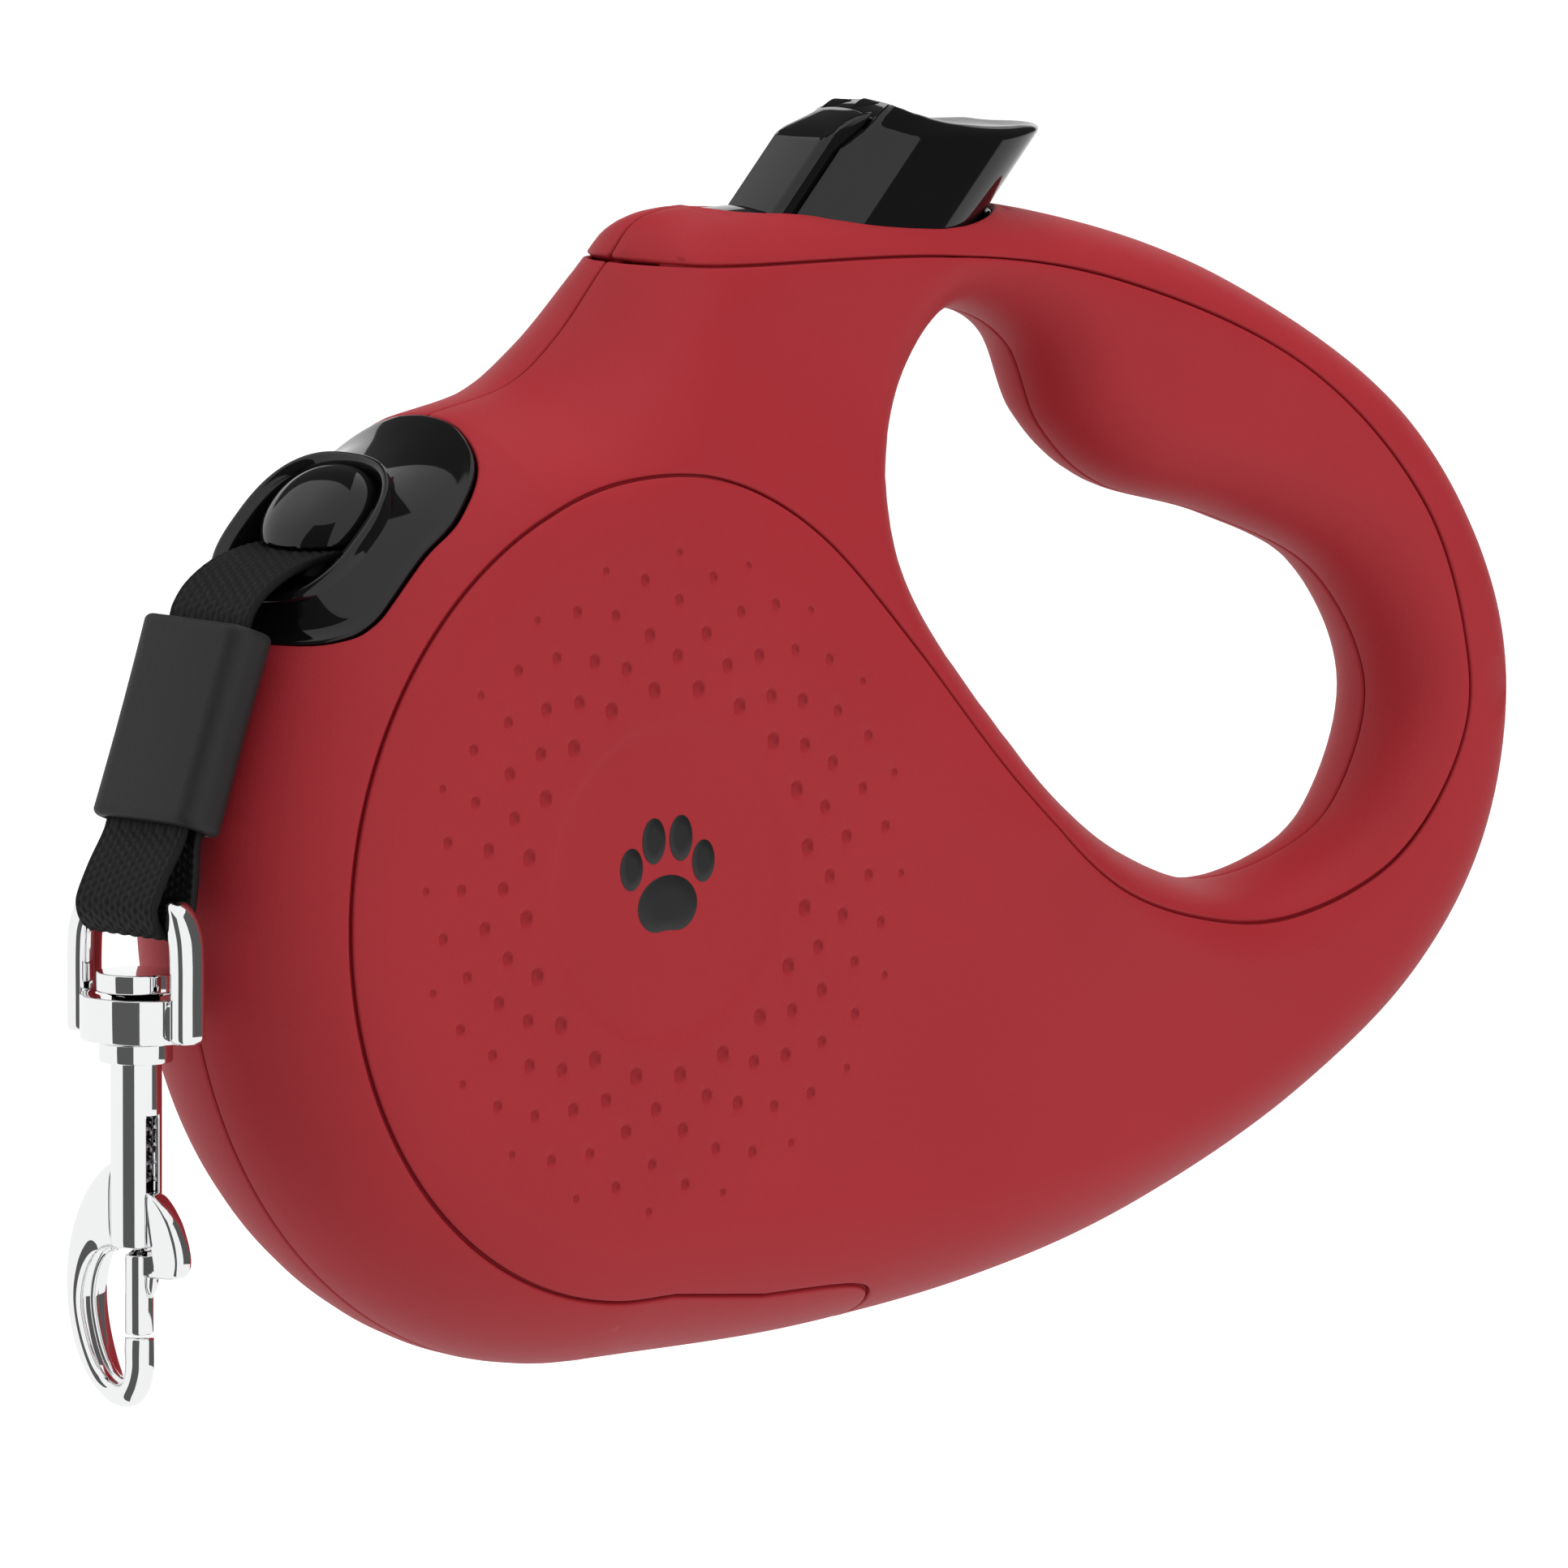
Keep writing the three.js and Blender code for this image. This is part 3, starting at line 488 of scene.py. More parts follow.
def dot_places():
    """Middle and radius of each dimple on the disc."""
    for ring, (far, radius) in enumerate(DOT_RINGS):
        for dot in range(DOTS_IN_RING):
            turn = DOT_FIRST + (dot - 0.5 * (ring % 2)) * 2 * math.pi / DOTS_IN_RING
            yield far * math.cos(turn), far * math.sin(turn), radius


def dents(points):
    """How deep the disc's dimples and its shallow middle are."""
    far = np.hypot(*points.T)
    radius, blend = RECESS["radius"], RECESS["blend"]
    deep = RECESS["deep"] * (1 - smoothstep(far, radius - blend, radius + blend))
    for x, z, radius in dot_places():
        off = np.hypot(points[:, 0] - x, points[:, 1] - z) / radius
        deep += DOT_DEPTH * radius * np.clip(1 - off**2, 0, 1) ** 0.7
    return deep


def inward_until(base, inward, thickness):
    """Where the case is this thick, going inward from points on its outline."""
    low, high = np.zeros(len(base)), np.full(len(base), 15.0)
    for _ in range(22):
        middle = (low + high) / 2
        thin = case_half(base + inward * middle[:, None]) < thickness
        low, high = np.where(thin, middle, low), np.where(thin, high, middle)
    return base + inward * high[:, None]


def nozzle_border():
    """The nozzle's border on one side: angle round the reel and distance from the middle plane."""
    return spline(NOZZLE_BORDER, 1.0)


def nozzle_border_side_view():
    """The nozzle's border as a line of the side view, from just outside the case to just outside it."""
    angle, y = nozzle_border().T
    outward = directions(np.radians(angle))
    points = inward_until(outward * (DISC_RADIUS - 0.01), -outward, np.maximum(y, SEAM_START + 0.001))
    points[0], points[-1] = outward[0] * (DISC_RADIUS + 1), outward[-1] * (DISC_RADIUS + 1)
    return points


def top_edge(x):
    """The height of the case's outline over the button well."""
    top = OUTLINE[(OUTLINE[:, 1] > 60) & (OUTLINE[:, 0] > 12)]
    order = np.argsort(top[:, 0])
    return np.interp(x, top[order, 0], top[order, 1])


def under_top(x, y):
    """Height of the case's top surface above places given by x and y."""
    base = np.column_stack([x, top_edge(x)])
    down = np.tile((0.0, -1.0), (len(base), 1))
    return inward_until(base, down, np.maximum(np.abs(y), SEAM_START + 0.001))[:, 1]


def well_border(inset=0.0):
    """The button well's border on one side, seen from above, from its front tip to its rear."""
    line = spline(WELL_BORDER, 0.8)
    return line - sideways(line) * inset


def well_border_side_view():
    """The button well's border as a line of the side view, with both its ends just above the case."""
    x, y = well_border().T
    points = np.column_stack([x, under_top(x, y)])
    points[0, 1] += 1
    points[-1, 1] += 1
    return points


# ---- The case's triangles in the side view ----
GRID_STEP = 1.35
ROW_STEP = GRID_STEP * 0.866
RING_TURNS = np.radians([7.5, 15, 22.5, 30, 37.5, 45])
LAST_RING = 0.293
DOT_RINGS_OF_POINTS = [(0.35, 6), (0.7, 10), (0.9, 12), (1.0, 14), (1.15, 14)]
GROOVE_SIDE = 0.7


def edge_rings():
    """Points in rings along the case's rounded edges, close together where an edge curves most."""
    rings = []
    for line, width in ((OUTLINE, edge_width(OUTLINE)), (OPENING, EDGE_OPENING)):
        inward = sideways(line)
        for turn in RING_TURNS:
            off = width * (1 - math.cos(turn))
            ring = line + inward * np.reshape(off, (-1, 1))
            rings.append(ring[distance(ring, closed_line(line)) > 0.9 * off])
    return rings


def dot_rings():
    """Points in and round each dimple."""
    rings = []
    for x, z, radius in dot_places():
        rings.append(np.array([(x, z)]))
        for share, count in DOT_RINGS_OF_POINTS:
            rings.append(np.array((x, z)) + share * radius * directions(once_round(count)))
    return rings


def filling():
    """A grid over the rest of the side, clear of everything that has points of its own."""
    x, z = np.meshgrid(np.arange(-57, 150, GRID_STEP), np.arange(-57, 75, ROW_STEP))
    x = x + GRID_STEP / 2 * (np.arange(len(x)) % 2)[:, None]
    grid = np.column_stack([x.ravel(), z.ravel()])
    grid = grid[inside(grid, OUTLINE) & ~inside(grid, OPENING)]
    grid = grid[distance(grid, OUTLINE) > LAST_RING * edge_width(grid) + 0.7]
    grid = grid[distance(grid, CLOSED_OPENING) > LAST_RING * EDGE_OPENING + 0.7]
    grid = grid[distance(grid, GROOVE) > GROOVE_HALF + 1.3]
    circles = [(x, z, COUNTERBORE["radius"] + RIM) for x, z in SCREWS]
    circles += [(x, z, radius * DOT_RINGS_OF_POINTS[-1][0]) for x, z, radius in dot_places()]
    for x, z, radius in circles:
        grid = grid[np.hypot(grid[:, 0] - x, grid[:, 1] - z) > radius + 0.4]
    for far in (RECESS["radius"], PLATEAU):
        grid = grid[np.abs(np.hypot(*grid.T) - far) > 0.9]
    return grid


def side_mesh():
    """The case's side as triangles in the side view, with points along everything that shapes it."""
    nozzle, well = nozzle_border_side_view(), well_border_side_view()
    normal = sideways(GROOVE)
    chains = [(OUTLINE, True), (OPENING, True), (nozzle, False), (well, False)]
    chains += [(GROOVE + normal * off, False) for off in (-GROOVE_HALF, GROOVE_HALF)]
    for place in SCREWS:
        chains.append((arc(place, COUNTERBORE["radius"] + RIM, 0, 360, 0.7)[:-1], True))
    beside = GROOVE_HALF + GROOVE_SIDE
    loose = [GROOVE + normal * off for off in (-beside, beside)]
    loose += edge_rings() + dot_rings()
    radius, blend = RECESS["radius"], RECESS["blend"]
    for far in (radius - blend, radius, radius + blend, PLATEAU - 0.2, PLATEAU + 0.2):
        loose.append(arc((0, 0), far, 0, 360, 1.2)[:-1])
    flat, faces = triangulation(chains, [*loose, filling()])
    middle = flat[faces].mean(1)
    kept = inside(middle, OUTLINE) & ~inside(middle, OPENING) & (distance(middle, GROOVE) > GROOVE_HALF)
    up = np.array((0.0, 12.0))
    kept &= ~inside(middle, np.vstack([well, well[-1] + up, well[0] + up]))
    outside_nozzle = arc((0, 0), DISC_RADIUS + 6, 149, 109, 4)
    kept &= ~inside(middle, np.vstack([nozzle, outside_nozzle]))
    return flat, faces[kept], middle[kept]


# ---- Materials ----
def node(tree, kind, links=(), **values):
    """A shader node with its inputs set or linked by name, and its own settings by attribute."""
    made = tree.nodes.new("ShaderNode" + kind)
    for key, value in values.items():
        setattr(made, key, value)
    for name, value in dict(links).items():
        if isinstance(value, bpy.types.NodeSocket):
            tree.links.new(value, made.inputs[name])
        else:
            made.inputs[name].default_value = value
    return made


def material(name, colours, roughness, bumps, mottle=40.0, **sockets):
    """A principled material. colours are its two close shades, roughness its range, and bumps a list of
    (noise scale per metre, strength, height in metres)."""
    made = bpy.data.materials.new(name)
    made.use_nodes = True
    tree = made.node_tree
    shader = tree.nodes["Principled BSDF"]
    place = node(tree, "TexCoord").outputs["Object"]
    clouds = node(tree, "TexNoise", {"Vector": place, "Scale": mottle, "Detail": 4.0}).outputs["Fac"]
    low, high = (tuple(c) + (1,) for c in colours)
    mix = node(tree, "MixRGB", {"Fac": clouds, "Color1": low, "Color2": high})
    tree.links.new(mix.outputs["Color"], shader.inputs["Base Color"])
    spread = node(tree, "MapRange", {"Value": clouds, "To Min": roughness[0], "To Max": roughness[1]})
    tree.links.new(spread.outputs["Result"], shader.inputs["Roughness"])
    normal = None
    for scale, strength, height in bumps:
        grain = node(tree, "TexNoise", {"Vector": place, "Scale": scale, "Detail": 3.0}).outputs["Fac"]
        links = {"Strength": strength, "Distance": height, "Height": grain}
        if normal:
            links["Normal"] = normal
        normal = node(tree, "Bump", links).outputs["Normal"]
    if normal:
        tree.links.new(normal, shader.inputs["Normal"])
    for socket, value in sockets.items():
        shader.inputs[socket.replace("_", " ")].default_value = value
    return made


RED = material(
    "case_red", [(0.36, 0.021, 0.029), (0.41, 0.025, 0.034)], (0.5, 0.6),
    [(5200, 0.55, 0.00005), (900, 0.15, 0.0001)], Specular_IOR_Level=0.22,
)
GLOSS = material(
    "gloss_black", [(0.004, 0.004, 0.0042), (0.007, 0.007, 0.0075)], (0.04, 0.08), [(300, 0.02, 0.0001)],
    Specular_IOR_Level=0.42,
)
INNER = material(
    "inner_plastic", [(0.24, 0.25, 0.27), (0.3, 0.31, 0.33)], (0.4, 0.5), [(2500, 0.3, 0.00005)],
)
SPRING = material(
    "spring_steel", [(0.5, 0.5, 0.52), (0.6, 0.6, 0.62)], (0.25, 0.35), [(3000, 0.2, 0.00002)],
    Metallic=1.0,
)
SCREW_STEEL = material(
    "blackened_steel", [(0.05, 0.05, 0.055), (0.09, 0.09, 0.095)], (0.3, 0.42), [(2200, 0.25, 0.00003)],
    Metallic=1.0,
)
STEEL = material(
    "steel", [(0.48, 0.48, 0.5), (0.58, 0.58, 0.6)], (0.28, 0.4), [(2200, 0.25, 0.00003)],
    Metallic=1.0,
)
BRASS = material(
    "brass_bush", [(0.5, 0.36, 0.16), (0.6, 0.43, 0.2)], (0.25, 0.35), [(2500, 0.2, 0.00003)],
    Metallic=1.0,
)
CHROME = material(
    "snap_chrome", [(0.86, 0.865, 0.87), (0.9, 0.905, 0.91)], (0.03, 0.06), [(260, 0.02, 0.0001)],
    Metallic=1.0,
)
RUBBER = material(
    "sleeve_rubber", [(0.013, 0.013, 0.0135), (0.018, 0.018, 0.0185)], (0.5, 0.65),
    [(1600, 0.35, 0.0001), (5000, 0.25, 0.00004)], Specular_IOR_Level=0.35,
)
WEBBING = material(
    "webbing", [(0.0025, 0.0025, 0.0028), (0.007, 0.007, 0.0075)], (0.5, 0.7),
    [(9000, 0.5, 0.00004)], mottle=2600.0, Specular_IOR_Level=0.24,
)
PRINT = material(
    "pad_print", [(0.004, 0.004, 0.004), (0.008, 0.008, 0.008)], (0.35, 0.45), [(4000, 0.2, 0.00002)],
)

CARRIED = {
    "brake_plunger": GLOSS, "brake_guide": INNER, "brake_spring": SPRING, "lock_spring": SPRING,
    "reel_hub": INNER, "ratchet_flange_left": INNER, "ratchet_flange_right": INNER, "spring_cup": INNER,
    "spring_cover": STEEL, "power_spring": SPRING, "axle": STEEL, "bush_left": BRASS, "bush_right": BRASS,
    "wound_tape": WEBBING, "tape_anchor_pin": STEEL, "bolt_spring": SPRING,
}
CARRIED.update({f"reel_screw_{i}": STEEL for i in (1, 2, 3)})
CARRIED.update({f"case_screw_{i}": SCREW_STEEL for i in range(1, 7)})


def dress_carried_nodes():
    """Gives the CAD nodes that stay in view their materials."""
    for name, finish in CARRIED.items():
        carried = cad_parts[name]
        carried.data.materials.clear()
        carried.data.materials.append(finish)


def finish_piece(piece, body, slot, *nodes):
    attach(piece, body)
    if nodes:
        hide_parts(*nodes)
    return piece


# ---- Case ----
def build_case():
    """The four shells of the case: a cover and a frame on each side, with screw holes on the right."""
    flat, faces, middle = side_mesh()
    half = case_half(flat) - dents(flat)
    beyond = [(-6, 95), (170, 95), (170, -80), (39.6, -80)]
    covered = inside(middle, np.vstack([GROOVE, beyond]))
    bored = np.zeros(len(middle), bool)
    for x, z in SCREWS:
        bored |= np.hypot(middle[:, 0] - x, middle[:, 1] - z) < COUNTERBORE["radius"] + RIM
    for side_name, side in (("left", -1), ("right", 1)):
        points = np.column_stack([flat[:, 0], side * half, flat[:, 1]])
        open_area = bored if side > 0 else np.zeros(len(middle), bool)
        for part_name, part in (("cover", covered), ("frame", ~covered)):
            chosen = faces[part & ~open_area][:, :: -side]
            used, chosen = np.unique(chosen, return_inverse=True)
            chosen = [tuple(face) for face in chosen.reshape(-1, 3).tolist()]
            name = f"{side_name}_{part_name}"
            made = mesh_object("case_" + name, *shell(points[used], chosen, SHELL), RED, tidy=False)
            finish_piece(made, "case", "case_red", name)


def build_screw_wells():
    """The cups that the case screws sit in, on the right side, kept just under the case's surface."""
    radius, floor = COUNTERBORE["radius"], COUNTERBORE["floor"]
    outside, base = radius + COUNTERBORE["wall"], floor - COUNTERBORE["base"]
    profile = [
        (NEAR_AXIS, base), (outside, base), (outside, DISC_HALF),
        (radius, DISC_HALF), (radius, floor), (NEAR_AXIS, floor),
    ]
    round_screw = directions(once_round(32))
    parts = []
    for place in SCREWS:
        loops = []
        for far, y in softened(profile, 0.25, 2):
            at = np.array(place) + far * round_screw
            under_skin = np.where(inside(at, OUTLINE), case_half(at) - COUNTERBORE["under_skin"], 0.5)
            loops.append(np.column_stack([at[:, 0], np.minimum(y, under_skin), at[:, 1]]))
        parts.append(skinned(loops))
    finish_piece(mesh_object("screw_wells", *together(parts), RED), "case", "case_red")


def strip(line, half, low, high, y_at):
    """A flat band along a line of the side view, between two depths below y_at."""
    loops = []
    for place, out in zip(line, sideways(line)):
        edges = np.array([place - out * half, place + out * half])
        deep = y_at(edges)
        loops.append(np.array([
            (edges[0, 0], deep[0] - low, edges[0, 1]), (edges[1, 0], deep[1] - low, edges[1, 1]),
            (edges[1, 0], deep[1] - high, edges[1, 1]), (edges[0, 0], deep[0] - high, edges[0, 1]),
        ]))
    return loops


def groove_tongues():
    """The lips that close the grooves, on both sides."""
    deep_enough = inside(GROOVE, OUTLINE) & (distance(GROOVE, closed_line(OUTLINE)) > 2)
    half = GROOVE_HALF + GROOVE_TONGUE["wider"]
    loops = strip(GROOVE[deep_enough], half, GROOVE_TONGUE["from"], GROOVE_TONGUE["to"], case_half)
    return [skinned([loop * (1, side, 1) for loop in loops]) for side in (-1, 1)]


def seam_tongues():
    """The lips that close the seam between the halves, left out at the nozzle and the button well."""
    x, z = OUTLINE.T
    bearing = np.degrees(np.arctan2(z, x)) % 360
    at_nozzle = (bearing > 107) & (bearing < 150) & (x < 0)
    at_well = (x > 18) & (x < 72) & (z > 50)
    open_there = at_nozzle | at_well
    starts = np.flatnonzero(open_there[:-1] != open_there[1:]) + 1
    half = SEAM_TONGUE["half"]
    parts = []
    for stretch in np.split(np.arange(len(OUTLINE)), starts):
        if open_there[stretch[0]] or len(stretch) < 3:
            continue
        line = OUTLINE[stretch]
        outer, inner = (line + sideways(line) * SEAM_TONGUE[end] for end in ("from", "to"))
        parts.append(skinned([
            np.array([(x1, -half, z1), (x1, half, z1), (x2, half, z2), (x2, -half, z2)])
            for (x1, z1), (x2, z2) in zip(outer, inner)
        ]))
    return parts


def build_seam_tongues():
    """The lips inside the case that close its grooves and the seam between its halves."""
    parts = groove_tongues() + seam_tongues()
    finish_piece(mesh_object("seam_tongues", *together(parts), RED), "case", "case_red")


def build_paw_print():
    """A plain paw print on the middle of the left side: one pad and four toes, as a thin layer of paint."""
    pad = (0, -2.6, 4.6, 3.5)
    toes = [(-5.6, 2.0, 1.75, 2.4), (-2.1, 4.9, 1.8, 2.6), (2.1, 4.9, 1.8, 2.6), (5.6, 2.0, 1.75, 2.4)]
    paint, under = 0.06, -0.1
    section = ((0.02, paint), (0.5, paint), (0.97, paint), (1.0, paint / 2), (1.0, under), (0.02, under))
    turn = once_round(48)
    hollow_below = 0.22 * np.exp(-((np.degrees(turn) - 270) / 28) ** 2)
    parts = []
    for x, z, wide, high in [pad, *toes]:
        dip = 1 - hollow_below * (wide == pad[2])
        edge = np.column_stack([x + wide * dip * np.cos(turn), z + high * dip * np.sin(turn)])
        loops = []
        for share, lift in section:
            at = np.array((x, z)) + (edge - (x, z)) * share
            y = -(case_half(at) - dents(at)) - lift
            loops.append(np.column_stack([at[:, 0], y, at[:, 1]]))
        parts.append(skinned(loops))
    finish_piece(mesh_object("paw_print", *together(parts), PRINT), "case", "gloss_black")


# ---- Nozzle ----
def nose_radius(y):
    """How far from the reel the case's front is, at a distance from the middle plane."""
    share = np.clip((np.abs(y) - SEAM_START) / (DISC_HALF - DOME_SAG - SEAM_START), 0, 1)
    return DISC_RADIUS - EDGE_FRONT * (1 - np.sqrt(1 - share**2))


def nose_height(across, y):
    """The case's own surface, seen along the mouth's line."""
    return np.sqrt(nose_radius(y) ** 2 - across**2)


def mouth_point(across, y, far):
    return slanted(MOUTH, across, y, far)


def where_rays_meet(loop):
    """The points of a loop round the mouth's line at even steps of angle."""
    turn = once_round(POINTS_ROUND_MOUTH)
    bearing = np.arctan2(loop[:, 1], loop[:, 0])
    far = np.interp(turn, bearing, np.hypot(*loop.T), period=2 * math.pi)
    return far[:, None] * directions(turn)


def bezel_border():
    """The bezel's border as a loop across the mouth's line, with room for the case's rim."""
    angle, y = nozzle_border().T
    turn = np.radians(angle) - MOUTH
    across = -nose_radius(y) * np.sin(turn)
    loop = mirrored(np.column_stack([across, -y]))
    outward = sideways(np.vstack([loop[-1], loop, loop[0]]))[1:-1]
    if (outward * loop).sum() < 0:
        outward = -outward
    return where_rays_meet(loop - outward * (2 * RIM + BEZEL["gap"]))


def build_bezel():
    """The black saddle round the mouth: it starts at the case and rises to the lip."""
    border = bezel_border()
    foot = where_rays_meet(oval(np.array(MOUTH_OUTER) * BEZEL["inner"], 360, OUTER_POWER))
    rise = LIP_HEIGHT - LIP["high"] - BEZEL["under_lip"] - nose_height(*foot.T)
    loops = []
    for share in np.linspace(0, 1, 22):
        across, y = (foot + (border - foot) * share).T
        lift = BEZEL["over_case"] + rise * (1 - share) ** BEZEL["flare"]
        lift -= BEZEL["hollow"] * math.sin(math.pi * share)
        loops.append(mouth_point(across, y, nose_height(across, y) + lift))
    skin = loft(loops)[:-2]
    points = np.concatenate(loops)
    a, b, c = (points[i] for i in skin[0][:3])
    if np.dot(np.cross(b - a, c - a), mouth_point(0.0, 0.0, 1.0)) < 0:
        skin = [face[::-1] for face in skin]
    made = mesh_object("bezel", *shell(points, skin, BEZEL["thick"]), GLOSS, tidy=False)
    finish_piece(made, "case", "gloss_black", "nozzle_bezel")


def build_mouth_ring():
    """The raised lip round the mouth: up its inner wall, over the lip and down outside."""
    outer = oval(MOUTH_OUTER, POINTS_ROUND_MOUTH, OUTER_POWER)
    inner = oval(MOUTH_INNER, POINTS_ROUND_MOUTH, INNER_POWER)
    lip = LIP_HEIGHT + LIP["tilt"] * np.cos(once_round(POINTS_ROUND_MOUTH))
    under_case = nose_height(*outer.T) - RING["under_case"]
    loops = [mouth_point(*inner.T, MOUTH_DEPTH), mouth_point(*inner.T, lip - RING["inner_wall"])]
    for angle in np.arange(13) * math.pi / 12:
        share = 0.5 - 0.5 * math.cos(angle)
        at = inner + (outer - inner) * share
        far = lip - LIP["high"] * (1 - math.sin(angle)) - LIP["inward"] * (1 - share) ** 2
        loops.append(mouth_point(*at.T, far))
    loops.append(mouth_point(*outer.T, lip - LIP["high"] - RING["outer_wall"]))
    for drawn_in, far in zip(RING["drawn_in"], (under_case, MOUTH_DEPTH)):
        loops.append(mouth_point(*(outer * drawn_in).T, far))
    made = lofted("mouth_ring", loops, GLOSS, around=True)
    finish_piece(made, "case", "gloss_black", "nozzle_ring")


def build_guide():
    """The smooth bulge that fills the upper part of the mouth and rests just above the tape."""
    tape = spline(TAPE_ROUTE, 1.0)[::-1]
    loops = []
    for latitude in np.linspace(0.02, math.pi - 0.02, 48):
        wide = math.sin(latitude) ** GUIDE["fullness"]
        high = math.copysign(abs(math.cos(latitude)) ** GUIDE["fullness"], math.cos(latitude))
        ring = oval((1, 1), 84, GUIDE["squareness"]) * wide
        across = GUIDE["across"] + ring[:, 0] * np.where(ring[:, 0] > 0, GUIDE["above"], GUIDE["below"])
        loop = mouth_point(across, ring[:, 1] * GUIDE["half_y"], GUIDE["far"] + GUIDE["high"] * high)
        floor = np.interp(loop[:, 0], *tape.T) + TAPE_THICK / 2 + GUIDE["over_tape"]
        loop[:, 2] = np.maximum(loop[:, 2], floor)
        loops.append(loop)
    made = lofted("tape_guide_bulge", loops, GLOSS)
    finish_piece(made, "case", "gloss_black", "nozzle_guide")


# ---- Buttons ----
def lock_outline(grow=0.0):
    return rectangle(LOCK["low"], LOCK["high"], LOCK["half"], LOCK["corner"], 0.4, inset=-grow)


def brake_outline(grow=0.0):
    """The brake button's outline across the press line. Its cheeks hold the lock button between them,
    and a grown outline, which is for its opening, runs straight across in front of them."""
    side = spline(BRAKE_SIDE, 0.5)
    if grow:
        side = side + sideways(side) * grow
        front = side[0, 0] - grow
        half = np.vstack([[(front, 0), (front, side[0, 1])], side])
        half[-1, 1] = 0
    else:
        inner, floor = LOCK["half"] + BUTTON_GAP, LOCK["high"] + BUTTON_GAP
        notch = [(floor, 0), (floor, inner), (BRAKE_SIDE[0][0], inner), BRAKE_SIDE[0]]
        half = np.vstack([softened(notch, 0.15, 2)[:-1], side])
    return mirrored(half)


def opening_in_tray(outline):
    """Where a button's outline meets the tray, as a loop of (x, y) seen from above. The tray's height
    there is not known at first, so it is guessed and then found in a few steps."""
    guess, front, rear = 72, 18, 80
    x = math.sqrt(2) * outline[:, 0] + guess
    for _ in range(8):
        height = under_top(np.clip(x, front, rear), outline[:, 1]) - TRAY["drop"]
        x = math.sqrt(2) * outline[:, 0] + height
    return np.column_stack([x, outline[:, 1]])


def build_tray():
    """The black tray under the buttons, seen in front of them and beside the lock button."""
    half_border = well_border(inset=2 * RIM + TRAY["gap"])
    half_border[[0, -1], 1] = 0
    border = mirrored(half_border)
    room = BUTTON_GAP + RIM
    opening = opening_in_tray(brake_outline(room))
    front = opening_in_tray(lock_outline(room))
    grid = grid_inside(border, (20, -9), (70, 9.1), TRAY["step"])
    for chain in (border, opening, front):
        grid = grid[distance(grid, closed_line(chain)) > TRAY["step"] / 2]

    def kept(middle):
        return inside(middle, border) & ~inside(middle, opening) & ~inside(middle, front)

    flat, faces = triangles([border, opening, front], [grid], kept)
    x, y = flat.T
    points = np.column_stack([x, y, under_top(x, y) - TRAY["drop"]])
    made = mesh_object("button_tray", *shell(points, faces, TRAY["thick"]), GLOSS, tidy=False)
    finish_piece(made, "case", "gloss_black", "button_plate")


def button(name, border, top, foot, edge):
    """A button standing along the press line over its outline, with a shaped top and a rounded edge.
    Its wall has a row of points near each end, so that its shading stays flat."""
    from_end, step = 0.3, 0.5
    closed = closed_line(border)
    inward = sideways(closed)[:-1]
    if not inside(border[:1] + inward[:1] * 0.05, border)[0]:
        inward = -inward
    rings = []
    for turn in np.radians([20, 35, 50, 65, 80, 90]):
        off = edge * (1 - math.cos(turn))
        ring = border + inward * off
        rings.append(ring[inside(ring, border) & (distance(ring, closed) > 0.92 * off)])
    grid = grid_inside(border, border.min(0), border.max(0), step)
    grid = grid[distance(grid, closed) > edge + 0.2]
    flat, faces = triangles([border], [*rings, grid], lambda middle: inside(middle, border))
    share = np.clip(distance(flat, closed) / edge, 0, 1)
    height = top(*flat.T) - edge * (1 - rounded(share))
    count = len(flat)
    on_border = [int(np.argmin(((flat - point) ** 2).sum(1))) for point in border]
    wall_flat, wall_top = flat[on_border], height[on_border]
    rows = [wall_top - from_end, foot(wall_flat) + from_end]
    points = [slanted(PRESS, *flat.T, height), slanted(PRESS, *flat.T, foot(flat))]
    points += [slanted(PRESS, *wall_flat.T, row) for row in rows]
    faces += [tuple(count + i for i in reversed(face)) for face in faces]
    size = len(border)
    for i in range(size):
        k = (i + 1) % size
        left = [on_border[i], 2 * count + i, 2 * count + size + i, count + on_border[i]]
        right = [on_border[k], 2 * count + k, 2 * count + size + k, count + on_border[k]]
        faces += [(left[r], right[r], right[r + 1], left[r + 1]) for r in range(3)]
    return mesh_object(name, np.vstack(points), faces, GLOSS)


def along_press(profile):
    """A side-view profile as heights along the press line over places across it."""
    x, z = spline(profile, 0.3).T
    across, far = (x - z) / math.sqrt(2), (x + z) / math.sqrt(2)
    return lambda at: np.interp(at, across, far)


def build_lock_button():
    """The small button in front, which is lower at its sides."""
    ridge = along_press([(39.9, 79.7), (40.2, 79.95), (43.5, 81.1), (47.6, 82.3)])

    def top(across, y):
        return ridge(across) - 0.9 * np.abs(y / LOCK["half"]) ** 2.4

    def foot(at):
        return np.full(len(at), LOCK["foot"])

    made = button("lock_thumb_button", lock_outline(), top, foot, 0.45)
    finish_piece(made, "lock", "gloss_black", "lock_button")


